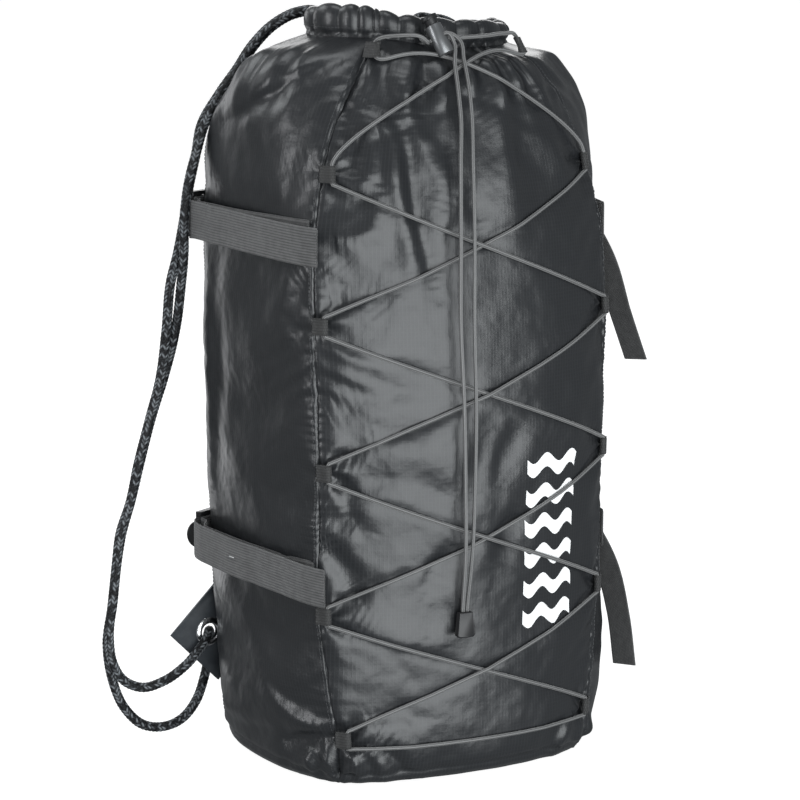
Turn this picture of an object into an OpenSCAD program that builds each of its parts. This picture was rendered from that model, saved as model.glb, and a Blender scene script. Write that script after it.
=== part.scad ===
// Compression sack: a soft drawstring pack that stands on its base.
// The laced front faces -Y, the back panel with the rope loops faces +Y.

/* [Sack] */
// Height of the sack to the top of the drawstring hem
sack_h = 600; // [540:5:660]
// Thickness of every fabric wall
wall = 1.6; // [1.2:0.2:2.4]

/* [Lacing] */
// Diameter of the elastic lacing cord
elastic_d = 3; // [2:0.5:3]
// Height of each folded lacing loop
loop_h = 13; // [8:1:16]

/* [Straps] */
// Width of the compression webbing
webbing_w = 30; // [20:1:30]
// Thickness of the compression webbing
webbing_t = 1.4; // [1:0.1:1.4]
// Height of the upper strap's middle
strap_top_z = 430; // [420:5:440]
// Height of the lower left strap's middle
strap_low_z = 166; // [160:2:172]
// Height of the lower right strap's middle
strap_low_right_z = 182; // [178:1:186]

/* [Ropes] */
// Diameter of the braided rope
rope_d = 8; // [6:0.5:8]
// Height of the rope eyelets
eyelet_z = 81; // [79:1:83]
// Outer diameter of an eyelet's flange
eyelet_od = 24; // [22:1:26]

/* [Hidden] */

k = sack_h / 600;
hem_low = 577 * k;
side_steps = 14;
cord_sides = 8;

// Outline of the sack at each height: [height, value].
seam_front_x = [[0, 106], [10, 111], [40, 113.5], [139, 127], [252, 128], [365, 130], [430, 127],
    [479, 117], [515, 104], [543, 87], [560, 74], [577, 61], [600, 56]];
seam_front_y = [[0, 96], [10, 101], [40, 104], [139, 98], [252, 102], [365, 100], [430, 95],
    [479, 88], [543, 78], [560, 71], [577, 60], [600, 50]];
seam_back_x = [[0, 108], [10, 113], [40, 116], [79, 120], [139, 128], [252, 132], [479, 133],
    [515, 124], [543, 105], [577, 74], [600, 58]];
seam_back_y = [[0, 88], [10, 91], [40, 93], [139, 95], [365, 95], [479, 92], [515, 85],
    [543, 72], [577, 51], [600, 40]];
bulge_front = [[0, 16], [10, 22], [40, 24], [139, 36], [252, 40], [365, 36], [479, 34],
    [543, 30], [577, 23], [600, 10]];
bulge_side = [[0, 3], [10, 6], [79, 10], [430, 10], [479, 14], [515, 24], [543, 32],
    [577, 23], [600, 14]];
bulge_back = [[0, 2], [10, 5], [40, 8], [139, 12], [479, 12], [543, 16], [577, 13], [600, 8]];

function at(z, table) = lookup(z / k, table);
function front_left(z) = [-at(z, seam_front_x), -at(z, seam_front_y)];
function front_right(z) = [at(z, seam_front_x), -at(z, seam_front_y)];
function back_left(z) = [-at(z, seam_back_x), at(z, seam_back_y)];
function back_right(z) = [at(z, seam_back_x), at(z, seam_back_y)];

// Point t of the way from corner a to corner b, pushed out by a bulge and then by off.
function bowed(a, b, bulge, t, off = 0) =
    let (d = (b - a) / norm(b - a), n = [d.y, -d.x])
    a + (b - a) * t + n * (4 * t * (1 - t) * bulge + off);
// The wall's four sides: 0 front, 1 right, 2 back, 3 left, each run anticlockwise from above.
function side_from(s, z) = [front_left(z), front_right(z), back_right(z), back_left(z)][s];
function side_to(s, z) = side_from((s + 1) % 4, z);
function side_bulge(s, z) = at(z, [bulge_front, bulge_side, bulge_back, bulge_side][s]);
function wall_point(s, z, t, off = 0) =
    let (p = bowed(side_from(s, z), side_to(s, z), side_bulge(s, z), t, off)) [p.x, p.y, z];
function front_y(x, z) =
    let (h = at(z, seam_front_x), t = (x + h) / (2 * h))
    -at(z, seam_front_y) - 4 * t * (1 - t) * at(z, bulge_front);
function unit(v) = v / norm(v);

// Triangles of a closed net of equal rings with a flat fan on each end.
function quad(a, b, c, d) = [[a, b, c], [a, c, d]];
function net_faces(rings, n) = concat(
    [for (r = [0 : rings - 2], i = [0 : n - 1], f = quad(
        r * n + i, (r + 1) * n + i, (r + 1) * n + (i + 1) % n, r * n + (i + 1) % n)) f],
    [for (i = [1 : n - 2]) [0, i, i + 1]],
    [for (i = [1 : n - 2]) [(rings - 1) * n, (rings - 1) * n + i + 1, (rings - 1) * n + i]]);

// One curved fabric wall between two corner seams.
module wall_panel(s, z_from, z_to, levels) {
    gap = 2.4 * wall / 250;
    ts = [for (i = [0 : side_steps]) gap + (1 - 2 * gap) * i / side_steps];
    zs = [for (j = [0 : levels]) z_from + (z_to - z_from) * j / levels];
    rings = [for (z = zs) concat(
        [for (t = ts) wall_point(s, z, t)],
        [for (i = [side_steps : -1 : 0]) wall_point(s, z, ts[i], -wall)])];
    n = 2 * (side_steps + 1);
    polyhedron([for (r = rings) each r], concat(
        [for (r = [0 : levels - 1], i = [0 : n - 1], f = quad(
            r * n + i, (r + 1) * n + i, (r + 1) * n + (i + 1) % n, r * n + (i + 1) % n)) f],
        [for (i = [0 : side_steps - 1], f = quad(i, i + 1, n - 2 - i, n - 1 - i)) f],
        [for (i = [0 : side_steps - 1], f = quad(
            levels * n + i, levels * n + n - 1 - i, levels * n + n - 2 - i, levels * n + i + 1)) f]));
}

// A round cord through a list of points, square-cut at both ends.
function tangent(p, i) = unit(p[min(i + 1, len(p) - 1)] - p[max(i - 1, 0)]);
function side_of(t, hint) = unit(hint - (hint * t) * t);
function frames(p, i, hint) = i >= len(p) ? [] :
    let (u = side_of(tangent(p, i), hint)) concat([u], frames(p, i + 1, u));
module cord(p, d, hint = [0.3, 0.9, 0.2]) {
    us = frames(p, 0, hint);
    polyhedron([for (i = [0 : len(p) - 1], j = [0 : cord_sides - 1])
        let (t = tangent(p, i), u = us[i], v = cross(t, u), a = 360 * j / cord_sides)
        p[i] + d / 2 * (u * cos(a) + v * sin(a))],
        net_faces(len(p), cord_sides));
}

// A flat band seen from above, drawn along a list of points and extruded upward.
function band_side(p, i, t) =
    let (a = unit(p[max(i, 1)] - p[max(i, 1) - 1]),
        b = unit(p[min(i + 1, len(p) - 1)] - p[min(i + 1, len(p) - 1) - 1]),
        m = unit(a + b), c = max(0.5, m * a))
    p[i] + [-m.y, m.x] * t / 2 / c;
module band(p, t, z, h) {
    translate([0, 0, z - h / 2]) linear_extrude(h)
        polygon(concat([for (i = [0 : len(p) - 1]) band_side(p, i, t)],
            [for (i = [len(p) - 1 : -1 : 0]) band_side(p, i, -t)]));
}

// ---- fabric ----
module front_panel() { color([0.19, 0.2, 0.21]) wall_panel(0, 2.4, hem_low - 0.6, 20); }
module right_side_panel() { color([0.17, 0.18, 0.19]) wall_panel(1, 2.4, hem_low - 0.6, 20); }
module back_panel() { color([0.19, 0.2, 0.21]) wall_panel(2, 2.4, hem_low - 0.6, 20); }
module left_side_panel() { color([0.17, 0.18, 0.19]) wall_panel(3, 2.4, hem_low - 0.6, 20); }
module bottom_panel() {
    color([0.16, 0.17, 0.18]) linear_extrude(2) polygon([for (s = [0 : 3], i = [0 : side_steps - 1])
        let (p = wall_point(s, 0, i / side_steps)) [p.x, p.y]]);
}

// The hem is a closed ring-shaped sleeve that the rope runs through.
hem_rope_z = 588 * k;
hem_half_h = 11;
hem_half_t = 6;
hem_steps = 40;
hem_radii = [78, 60];
function hem_mid(a) = [hem_radii.x * cos(a), -8 + hem_radii.y * sin(a)];
module hem_outline(off) {
    polygon([for (i = [0 : hem_steps - 1])
        let (a = 360 * i / hem_steps) hem_mid(a) + unit([hem_radii.y * cos(a), hem_radii.x * sin(a)]) * off]);
}
module hem_ring(half_t, half_h) {
    translate([0, 0, hem_rope_z - half_h]) linear_extrude(2 * half_h) difference() {
        hem_outline(half_t);
        hem_outline(-half_t);
    }
}
rope_out_angle = 123;
module hem_mouth(s) {
    m = hem_mid(rope_out_angle);
    translate([s * -m.x, m.y, hem_rope_z]) rotate([-90, 0, s * -25]) hull() for (x = [-4.5, 5])
        translate([s * x, 0, 0]) cylinder(h = 16, r = 8.5, $fn = 32);
}
module drawstring_hem() {
    color([0.17, 0.18, 0.19]) difference() {
        hem_ring(hem_half_t, hem_half_h);
        hem_ring(hem_half_t - 1, hem_half_h - 1.6);
        hem_mouth(1);
        hem_mouth(-1);
    }
}

// ---- ropes ----
// The left loop: out of the hem, down to the eyelet, through it, round below it and back up.
rope_route = [
    [-36, 46, 588], [-39, 54, 591], [-48, 60, 594], [-62, 64, 592], [-80, 68, 583], [-96, 73, 567],
    [-108, 79, 547], [-122, 83, 527], [-137, 84.5, 503], [-142, 84, 481], [-148, 84, 457], [-153, 84, 429],
    [-158, 87, 400], [-163, 89, 379], [-167, 91, 337], [-174, 90, 296], [-181, 90, 273], [-193, 91, 231],
    [-200, 92, 200], [-209, 92, 176], [-213, 92, 149], [-217, 92, 118], [-220, 93, 90], [-217, 93, 68],
    [-206, 94, 51], [-190, 94, 44], [-172, 94, 47], [-152, 94, 58], [-139, 96, 69], [-130, 100, 77],
    [-125.5, 106, 81], [-122, 112, 80], [-119, 117, 73], [-118, 120, 62], [-120, 121, 50], [-125, 118, 37],
    [-134, 114, 21], [-148, 110, 9], [-167, 106, 5], [-187, 104, 10], [-203, 103, 26], [-214, 102, 52],
    [-218, 102, 84], [-213, 101, 115], [-209, 101, 147], [-204, 101, 173], [-196, 101, 198],
    [-188, 100, 229], [-176, 99, 271], [-166, 98, 300], [-159, 91, 337], [-156, 84, 379], [-156, 79, 401],
    [-157, 75, 430], [-153, 75, 458], [-146, 75, 482], [-139, 74, 504], [-125, 71, 529], [-112, 69, 546],
    [-100, 62, 567], [-84, 58, 583], [-69, 54, 591], [-58, 50, 593], [-50, 45, 591], [-48, 39, 588]];
function mirrored(p) = [for (q = p) [-q.x, q.y, q.z]];
module rope_in_hem() {
    color([0.16, 0.17, 0.18]) for (arc = [[134, 406, 30], [69, 111, 6]])
        cord([for (i = [0 : arc[2]]) let (m = hem_mid(arc[0] + (arc[1] - arc[0]) * i / arc[2]))
            [m.x, m.y, hem_rope_z]], rope_d, [0, 0, 1]);
}
module rope_left() { color([0.15, 0.16, 0.17]) cord(rope_route, rope_d); }
module rope_right() { color([0.15, 0.16, 0.17]) cord(mirrored(rope_route), rope_d); }

// ---- lacing ----
loop_zs = [570, 479, 365, 252, 139, 40] * k;
loop_reach = 9;
loop_out = 4.3;
loop_wall = 1.1;
loop_hole = 2.1;
function loop_slope(z) = atan(2 * at(z, bulge_front) / at(z, seam_front_x));
function loop_place(s, z, reach, out) =
    let (a = loop_slope(z), c = [s * at(z, seam_front_x), -at(z, seam_front_y)],
        q = c + reach * [-s * cos(a), -sin(a)] + out * [s * sin(a), -cos(a)]) [q.x, q.y, z];
// A loop leans back with the wall it is sewn to.
function loop_lean(s, z) = unit([0.3 * s * (at(z + 6, seam_front_x) - at(z - 6, seam_front_x)),
    at(z - 6, seam_front_y) - at(z + 6, seam_front_y), 12]);
module lacing_loop(s, z) {
    lean = loop_lean(s, z);
    translate(loop_place(s, z, loop_reach, loop_out)) rotate(acos(lean.z), cross([0, 0, 1], lean))
        rotate([0, 0, s * loop_slope(z)]) difference() {
            union() {
                cylinder(h = loop_h, r = loop_hole + loop_wall, center = true, $fn = 32);
                translate([s > 0 ? 0 : -8.5, -0.6, -loop_h / 2]) cube([8.5, 2.2, loop_h]);
            }
            cylinder(h = loop_h + 2, r = loop_hole, center = true, $fn = 32);
        }
}
module lacing_loops_left() { color([0.2, 0.2, 0.21]) for (z = loop_zs) lacing_loop(-1, z); }
module lacing_loops_right() { color([0.2, 0.2, 0.21]) for (z = loop_zs) lacing_loop(1, z); }

// The cord leaves one loop end and crosses the front to the next, clear of the fabric.
lace_clear = 3.2;
function front_clear(x, z) =
    let (dx = front_y(x + 2, z) - front_y(x - 2, z), dz = front_y(x, z + 2) - front_y(x, z - 2))
    front_y(x, z) - lace_clear * norm([dx / 4, 1, dz / 4]);
function lace_end(s, row, up) = let (p = loop_place(s, loop_zs[row], loop_reach, loop_out))
    p + up * (loop_h / 2 + 1.5) * loop_lean(s, loop_zs[row]);
function lace_run(a, b, hump, steps) = [for (i = [1 : steps - 1])
    let (f = i / steps, x = a.x + (b.x - a.x) * f, z = a.z + (b.z - a.z) * f)
    [x, front_clear(x, z) - hump * sin(180 * f), z]];
function lace_pass(s, row, up) = let (p = lace_end(s, row, up), q = lace_end(s, row, -up)) [p, q];
// Rows from the top down along one diagonal family; side is the first row's side.
function lace_down(first, hump) = [for (row = [1 : 5]) let (s = row % 2 == 1 ? -first : first)
    each concat(lace_run(lace_end(-s, row - 1, -1), lace_end(s, row, 1), hump, 8), lace_pass(s, row, 1))];
function backwards(p) = [for (i = [len(p) - 1 : -1 : 0]) p[i]];
lock_mid = [-18, -93, 579];
lock_axis = unit([-0.28, 0.42, 0.86]);
hole_dir = unit(cross([0.55, 0.8, 0], lock_axis));
hole_side = cross(lock_axis, hole_dir);
mouth_in = 8;
function hole_at(along, side) = lock_mid + hole_dir * along + hole_side * side;
top_left = lace_end(-1, 0, 1);
top_right = lace_end(1, 0, 1);
lacing_route = concat(
    [hole_at(-mouth_in - 0.4, -1.8), [-32, -90, 580], [-45, -84, 581], top_left, lace_end(-1, 0, -1)],
    lace_down(-1, 0),
    lace_run(lace_end(1, 5, -1), lace_end(-1, 5, -1), 2, 8),
    backwards(concat([lace_end(1, 0, -1)], lace_down(1, 4.2))),
    [top_right, [45, -84, 580], [25, -88, 579], [2, -87, 578], [-15, -84.5, 577], [-27, -84.5, 577],
        [-30, -86, 578.5], hole_at(-mouth_in - 0.4, 1.8)]);
tail_long = [hole_at(1 - mouth_in, -1.8), hole_at(0, -1.8), hole_at(mouth_in, -1.8), [-5, -99, 573],
    [-7, -105, 562], [-10, -119, 540], [-12, -127, 518], [-17, -134, 490], [-21, -142, 430],
    [-23, -146, 365], [-23, -150, 300], [-23, -150.5, 240], [-23, -149.5, 190], [-23, -143, 140]];
tail_short = [hole_at(1 - mouth_in, 1.8), hole_at(0, 1.8), hole_at(mouth_in, 1.8), [0, -98, 576],
    [2, -105, 562], [1, -119, 540], [0, -127, 518], [-3, -134, 490], [-4, -143, 430],
    [-6, -147, 365], [-8, -150, 300], [-11, -150.5, 240], [-15, -149.5, 190], [-19.5, -143, 140]];
module lacing_elastic() { color([0.42, 0.43, 0.44]) cord(lacing_route, elastic_d, [0.2, -0.9, 0.3]); }
module elastic_tail_long() { color([0.42, 0.43, 0.44]) cord(tail_long, elastic_d); }
module elastic_tail_short() { color([0.42, 0.43, 0.44]) cord(tail_short, elastic_d); }
module cord_end_clip() {
    color([0.07, 0.07, 0.08]) translate([-21.2, -143, 139.6]) rotate([-2, 0, 0]) difference() {
        translate([0, 3, -20]) rotate([90, 0, 0]) linear_extrude(6)
            polygon([[-8, 2], [-6, 0], [6, 0], [8, 2], [5.5, 20], [-5.5, 20]]);
        translate([0, 0, -9]) cube([8, 3.4, 6], center = true);
    }
}

// ---- cord lock ----
lock_r = 6.5;
lock_len = 24;
bore_r = 5.1;
plunger_r = 5;
module on_lock() {
    multmatrix([[hole_dir.x, hole_side.x, lock_axis.x, lock_mid.x],
        [hole_dir.y, hole_side.y, lock_axis.y, lock_mid.y],
        [hole_dir.z, hole_side.z, lock_axis.z, lock_mid.z], [0, 0, 0, 1]]) children();
}
module cord_lock_barrel() {
    color([0.45, 0.46, 0.47]) on_lock() difference() {
        translate([0, 0, -14]) cylinder(h = lock_len, r = lock_r, $fn = 48);
        translate([0, 0, -12.5]) cylinder(h = lock_len, r = bore_r, $fn = 48);
        cube([2 * lock_r + 2, 7.4, 3.6], center = true);
    }
}
module cord_lock_plunger() {
    color([0.1, 0.1, 0.11]) on_lock() difference() {
        union() {
            translate([0, 0, -5]) cylinder(h = 20, r = plunger_r, $fn = 48);
            translate([0, 0, 15]) cylinder(h = 3, r = lock_r, $fn = 48);
        }
        translate([0, 0, 2.8]) cube([2 * lock_r + 2, 7.4, 9.2], center = true);
    }
}
module cord_lock_spring() {
    turns = 4;
    steps = 12;
    color([0.75, 0.75, 0.77]) on_lock() cord([for (i = [0 : turns * steps])
        let (a = 360 * i / steps) [3.6 * cos(a), 3.6 * sin(a), -12.1 + 6.6 * i / (turns * steps)]],
        0.8, [0, 0, 1]);
}

// ---- compression straps ----
lock_turn = 60;
bar_w = 38;
// Seen from above the ladder lock runs from its anchor bar (0) to its front bar (24).
function lock_local(z, u, v) =
    let (o = [-at(z, seam_back_x) + 12.8, at(z, seam_back_y) + 13.6],
        d = [-sin(lock_turn), -cos(lock_turn)], n = [-cos(lock_turn), sin(lock_turn)])
    o + d * u + n * v;
function strap_route(z) = concat(
    [for (q = [[0.97, 2.8], [0.8, 2.8], [0.6, 2.8], [0.4, 2.8], [0.25, 2.8], [0.12, 3.4], [0.04, 5.8]])
        let (p = wall_point(3, z, q[0], q[1])) [p.x, p.y]],
    [lock_local(z, 25, -2.6), lock_local(z, 13, -2.2), lock_local(z, 10.4, -1.9),
        lock_local(z, 9.3, -0.4), lock_local(z, 9.3, 2.4), lock_local(z, 10.4, 3.6),
        lock_local(z, 15.8, 3.6), lock_local(z, 17.3, 2.6), lock_local(z, 17.9, 0.6),
        lock_local(z, 19, -0.5), lock_local(z, 24, -0.5), lock_local(z, 27, -0.4)]);
function tail_over(z) = concat(
    [for (q = [[0.06, 10], [0.15, 8.6], [0.25, 7.4], [0.4, 6.8], [0.6, 6.8], [0.8, 6.8], [0.97, 6.8]])
        let (p = wall_point(3, z, q[0], q[1])) [p.x, p.y]],
    [let (p = wall_point(3, z, 1, 5.4)) [p.x, p.y - 7]]);
module strap(z) {
    color([0.23, 0.23, 0.24])
        band(concat(strap_route(z), tail_over(z)), webbing_t, z, webbing_w);
}
// A loose tail twists as it leaves the lock and hangs: [middle of the band, direction of its width].
upper_tail = [[[-145, 70, 430], [0, 0, 1]], [[-147, 48, 430], [0, 0, 1]], [[-150, 24, 429], [0, -0.1, 1]],
    [[-153, 0, 425], [0, -0.35, 0.94]], [[-156, -26, 413], [-0.1, -0.7, 0.7]],
    [[-163, -46, 390], [-0.25, -0.9, 0.35]], [[-176, -56, 352], [-0.35, -0.93, 0]],
    [[-193, -60, 310], [-0.35, -0.93, 0]]];
lower_tail = [[[-142, 70, 182], [0, 0, 1]], [[-145, 48, 182], [0, 0, 1]], [[-149, 24, 181], [0, -0.1, 1]],
    [[-153, 0, 177], [0, -0.35, 0.94]], [[-158, -28, 164], [-0.1, -0.7, 0.7]],
    [[-164, -50, 138], [-0.25, -0.9, 0.35]], [[-168, -63, 100], [-0.35, -0.93, 0]],
    [[-171, -69, 57], [-0.35, -0.93, 0]]];
module ribbon(route) {
    p = [for (q = route) q[0]];
    polyhedron([for (i = [0 : len(p) - 1])
        let (t = tangent(p, i), w = side_of(t, route[i][1]) * webbing_w / 2, n = cross(t, unit(w)) * webbing_t / 2)
        each [p[i] + w + n, p[i] - w + n, p[i] - w - n, p[i] + w - n]], net_faces(len(p), 4));
}
module hanging_strap(z, tail) {
    e = lock_local(z, 27, -0.4);
    color([0.23, 0.23, 0.24]) {
        band(concat(strap_route(z), [[e.x - 0.6, e.y - 6]]), webbing_t, z, webbing_w);
        ribbon(concat([[[e.x - 0.5, e.y - 4, z], [0, 0, 1]]], tail));
    }
}
module right_hand() { mirror([1, 0, 0]) children(); }
module strap_upper_left() { strap(strap_top_z); }
module strap_lower_left() { strap(strap_low_z); }
module strap_upper_right() { right_hand() hanging_strap(strap_top_z, upper_tail); }
module strap_lower_right() { right_hand() hanging_strap(strap_low_right_z, lower_tail); }

module at_lock(z) {
    o = lock_local(z, 0, 0);
    d = lock_local(z, 1, 0) - o;
    n = lock_local(z, 0, 1) - o;
    multmatrix([[d.x, n.x, 0, o.x], [d.y, n.y, 0, o.y], [0, 0, 1, z], [0, 0, 0, 1]]) children();
}
module bar(u0, u1, v0, v1) { translate([u0, v0, -bar_w / 2]) cube([u1 - u0, v1 - v0, bar_w]); }
module ladder_lock(z) {
    rail = 3.4;
    color([0.08, 0.08, 0.09]) at_lock(z) {
        translate([2, 0, -bar_w / 2]) cylinder(h = bar_w, r = 1.75, $fn = 32);
        bar(11.5, 15, -0.5, 2.5);
        bar(20, 24, 0.5, 3.5);
        for (s = [-1, 1]) translate([0, -1.75, s * (bar_w - rail) / 2 - rail / 2]) cube([24, 5.25, rail]);
        translate([23.5, 2, 0]) rotate([0, 0, 50]) rotate([-90, 0, 0])
            linear_extrude(1.6) polygon([for (a = [-90 : 15 : 90]) [9 * cos(a), 11 * sin(a)]]);
    }
}
module ladder_lock_upper_left() { ladder_lock(strap_top_z); }
module ladder_lock_lower_left() { ladder_lock(strap_low_z); }
module ladder_lock_upper_right() { right_hand() ladder_lock(strap_top_z); }
module ladder_lock_lower_right() { right_hand() ladder_lock(strap_low_right_z); }

// Each anchor is a folded strip round the lock's anchor bar, stitched to the back panel.
function back_spot(z, x, off) =
    let (h = at(z, seam_back_x), t = (h + x) / (2 * h))
    [x, at(z, seam_back_y) + 4 * t * (1 - t) * at(z, bulge_back) + off];
module anchor(z) {
    t = 1.2;
    color([0.2, 0.2, 0.21]) band([back_spot(z, -84, 1.2), back_spot(z, -98, 1.2), lock_local(z, -2, -2.6),
        lock_local(z, 4, -2.6), lock_local(z, 5.2, -1.6), lock_local(z, 5.2, 1.6), lock_local(z, 4, 2.6),
        lock_local(z, -2, 2.6), back_spot(z, -98, 2.9), back_spot(z, -84, 2.9)], t, z, webbing_w);
}
module anchor_upper_left() { anchor(strap_top_z); }
module anchor_lower_left() { anchor(strap_low_z); }
module anchor_upper_right() { right_hand() anchor(strap_top_z); }
module anchor_lower_right() { right_hand() anchor(strap_low_right_z); }

// ---- rope tabs and eyelets ----
eyelet_at = [-125, 107, eyelet_z];
tab_t = 2.4;
barrel_r = 7.8;
module rope_tab() {
    plan = [[-164, 107], [-112.2, 107], [-106, 104], [-96, 101.6], [-84, 102.8]];
    color([0.1, 0.11, 0.12]) difference() {
        intersection() {
            band(plan, tab_t, eyelet_z, 90);
            translate([-117, 0, eyelet_z]) rotate([0, 45, 0]) cube([60, 300, 60], center = true);
        }
        translate(eyelet_at) rotate([90, 0, 0]) cylinder(h = 20, r = barrel_r + 0.1, center = true, $fn = 48);
    }
}
module eyelet() {
    color([0.82, 0.82, 0.83]) translate(eyelet_at) rotate([90, 0, 0]) rotate_extrude($fn = 64)
        polygon([[barrel_r - 0.8, -2.6], [barrel_r, -2.6], [barrel_r, tab_t / 2 + 0.1],
            [eyelet_od / 2 - 0.6, tab_t / 2 + 0.1], [eyelet_od / 2, tab_t / 2 + 0.5],
            [eyelet_od / 2 - 1.5, tab_t / 2 + 1.3], [barrel_r + 0.6, tab_t / 2 + 1.9],
            [barrel_r - 0.8, tab_t / 2 + 1.2]]);
}
module eyelet_washer() {
    color([0.82, 0.82, 0.83]) translate(eyelet_at) rotate([90, 0, 0]) rotate_extrude($fn = 64)
        polygon([[barrel_r + 0.1, -tab_t / 2 - 0.9], [eyelet_od / 2 - 0.8, -tab_t / 2 - 0.9],
            [eyelet_od / 2 - 0.8, -tab_t / 2 - 0.1], [barrel_r + 0.1, -tab_t / 2 - 0.1]]);
}
module rope_tab_left() { rope_tab(); }
module rope_tab_right() { right_hand() rope_tab(); }
module eyelet_left() { eyelet(); }
module eyelet_right() { right_hand() eyelet(); }
module eyelet_washer_left() { eyelet_washer(); }
module eyelet_washer_right() { right_hand() eyelet_washer(); }

front_panel();
back_panel();
left_side_panel();
right_side_panel();
bottom_panel();
drawstring_hem();
rope_in_hem();
rope_left();
rope_right();
lacing_loops_left();
lacing_loops_right();
lacing_elastic();
elastic_tail_long();
elastic_tail_short();
cord_lock_barrel();
cord_lock_plunger();
cord_lock_spring();
cord_end_clip();
strap_upper_left();
strap_lower_left();
strap_upper_right();
strap_lower_right();
ladder_lock_upper_left();
ladder_lock_lower_left();
ladder_lock_upper_right();
ladder_lock_lower_right();
anchor_upper_left();
anchor_lower_left();
anchor_upper_right();
anchor_lower_right();
rope_tab_left();
rope_tab_right();
eyelet_left();
eyelet_right();
eyelet_washer_left();
eyelet_washer_right();
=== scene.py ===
"""Compression sack, looks: a gathered ripstop sack with elastic lacing, webbing straps and a braided rope.

Lengths below are millimetres in the frame of the CAD model (+Z up, laced front towards -Y), and become metres
where a mesh is made. The left side is the side at -X.
"""

import math

import bpy
import numpy as np
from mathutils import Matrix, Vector
from mathutils.bvhtree import BVHTree


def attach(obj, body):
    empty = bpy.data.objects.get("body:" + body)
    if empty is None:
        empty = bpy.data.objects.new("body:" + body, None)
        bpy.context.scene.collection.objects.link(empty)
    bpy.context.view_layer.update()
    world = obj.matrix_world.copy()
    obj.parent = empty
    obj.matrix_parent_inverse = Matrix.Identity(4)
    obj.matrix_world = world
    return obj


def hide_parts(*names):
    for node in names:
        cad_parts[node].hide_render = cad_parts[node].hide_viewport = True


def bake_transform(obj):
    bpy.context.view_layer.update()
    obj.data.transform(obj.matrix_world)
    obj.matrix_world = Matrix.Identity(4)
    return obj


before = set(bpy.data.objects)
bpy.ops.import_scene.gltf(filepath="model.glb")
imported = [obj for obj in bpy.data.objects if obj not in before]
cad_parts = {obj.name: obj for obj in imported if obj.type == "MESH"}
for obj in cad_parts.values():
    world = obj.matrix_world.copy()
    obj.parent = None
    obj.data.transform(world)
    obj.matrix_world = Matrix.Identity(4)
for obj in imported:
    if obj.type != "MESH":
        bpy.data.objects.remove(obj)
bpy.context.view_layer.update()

MM = 0.001
FOLD = ("sack", "back", (0, -0.09, 0), (0, 0.045, 0))

# ------------------------------------------------------------------ materials
RIPSTOP_PITCH = 0.0031
RIB_PITCH = 0.00214
PRINT_MIDDLE = (0.066, 0.189)
PRINT_HALF = (0.027, 0.074)
BAR_PITCH = 0.0245
BAR_HALF_GAP = 0.27
WAVE_LENGTH = 0.027
WAVE_HEIGHT = 0.004


class Value:
    """An output of a material's nodes; arithmetic with it adds math nodes."""

    def __init__(self, tree, socket):
        self.tree, self.socket = tree, socket

    def math(self, operation, *others):
        node = self.tree.nodes.new("ShaderNodeMath")
        node.operation = operation
        for socket, value in zip(node.inputs, (self, *others)):
            if isinstance(value, Value):
                self.tree.links.new(value.socket, socket)
            else:
                socket.default_value = value
        return Value(self.tree, node.outputs[0])

    def __add__(self, other):
        return self.math("ADD", other)

    def __sub__(self, other):
        return self.math("SUBTRACT", other)

    def __mul__(self, other):
        return self.math("MULTIPLY", other)

    def clamped(self):
        node = self.tree.nodes.new("ShaderNodeClamp")
        self.tree.links.new(self.socket, node.inputs[0])
        return Value(self.tree, node.outputs[0])

    def lines(self, pitch, share):
        """1 on thin lines a pitch apart, 0 between them, with soft edges."""
        there = self.math("DIVIDE", pitch).math("PINGPONG", 0.5)
        return (there * (-1 / share) + 1.0).clamped()


class Look:
    """A Principled material with short ways to give it patterns; values sets more sockets by name."""

    def __init__(self, name, colour, roughness, **values):
        self.material = bpy.data.materials.new(name)
        self.material.use_nodes = True
        self.tree = self.material.node_tree
        self.sockets = self.tree.nodes["Principled BSDF"].inputs
        self.sockets["Base Color"].default_value = (*colour, 1)
        self.sockets["Roughness"].default_value = roughness
        for socket, value in values.items():
            self.sockets[socket.replace("_", " ")].default_value = value

    def give(self, socket, value):
        self.tree.links.new(value.socket, self.sockets[socket])

    def cloth(self):
        """The two cloth coordinates, in metres."""
        layer = self.tree.nodes.new("ShaderNodeUVMap")
        layer.uv_map = "weave"
        split = self.tree.nodes.new("ShaderNodeSeparateXYZ")
        self.tree.links.new(layer.outputs[0], split.inputs[0])
        return Value(self.tree, split.outputs[0]), Value(self.tree, split.outputs[1])

    def noise(self, scale, detail):
        node = self.tree.nodes.new("ShaderNodeTexNoise")
        node.inputs["Scale"].default_value = scale
        node.inputs["Detail"].default_value = detail
        place = self.tree.nodes.new("ShaderNodeTexCoord")
        self.tree.links.new(place.outputs["Object"], node.inputs["Vector"])
        return Value(self.tree, node.outputs["Fac"])

    def mix(self, factor, dark, light):
        """A colour from dark to light; each is three numbers or a value."""
        node = self.tree.nodes.new("ShaderNodeMix")
        node.data_type = "RGBA"
        self.tree.links.new(factor.socket, node.inputs["Factor"])
        for socket, colour in ((node.inputs["A"], dark), (node.inputs["B"], light)):
            if isinstance(colour, Value):
                self.tree.links.new(colour.socket, socket)
            else:
                socket.default_value = (*colour, 1)
        return Value(self.tree, node.outputs["Result"])

    def bump(self, height, distance, strength, under=None):
        """Gives the material a bump, over the one given as under, and returns it."""
        node = self.tree.nodes.new("ShaderNodeBump")
        node.inputs["Distance"].default_value = distance
        node.inputs["Strength"].default_value = strength
        self.tree.links.new(height.socket, node.inputs["Height"])
        if under is not None:
            self.tree.links.new(under.socket, node.inputs["Normal"])
        relief = Value(self.tree, node.outputs[0])
        self.give("Normal", relief)
        return relief


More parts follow.
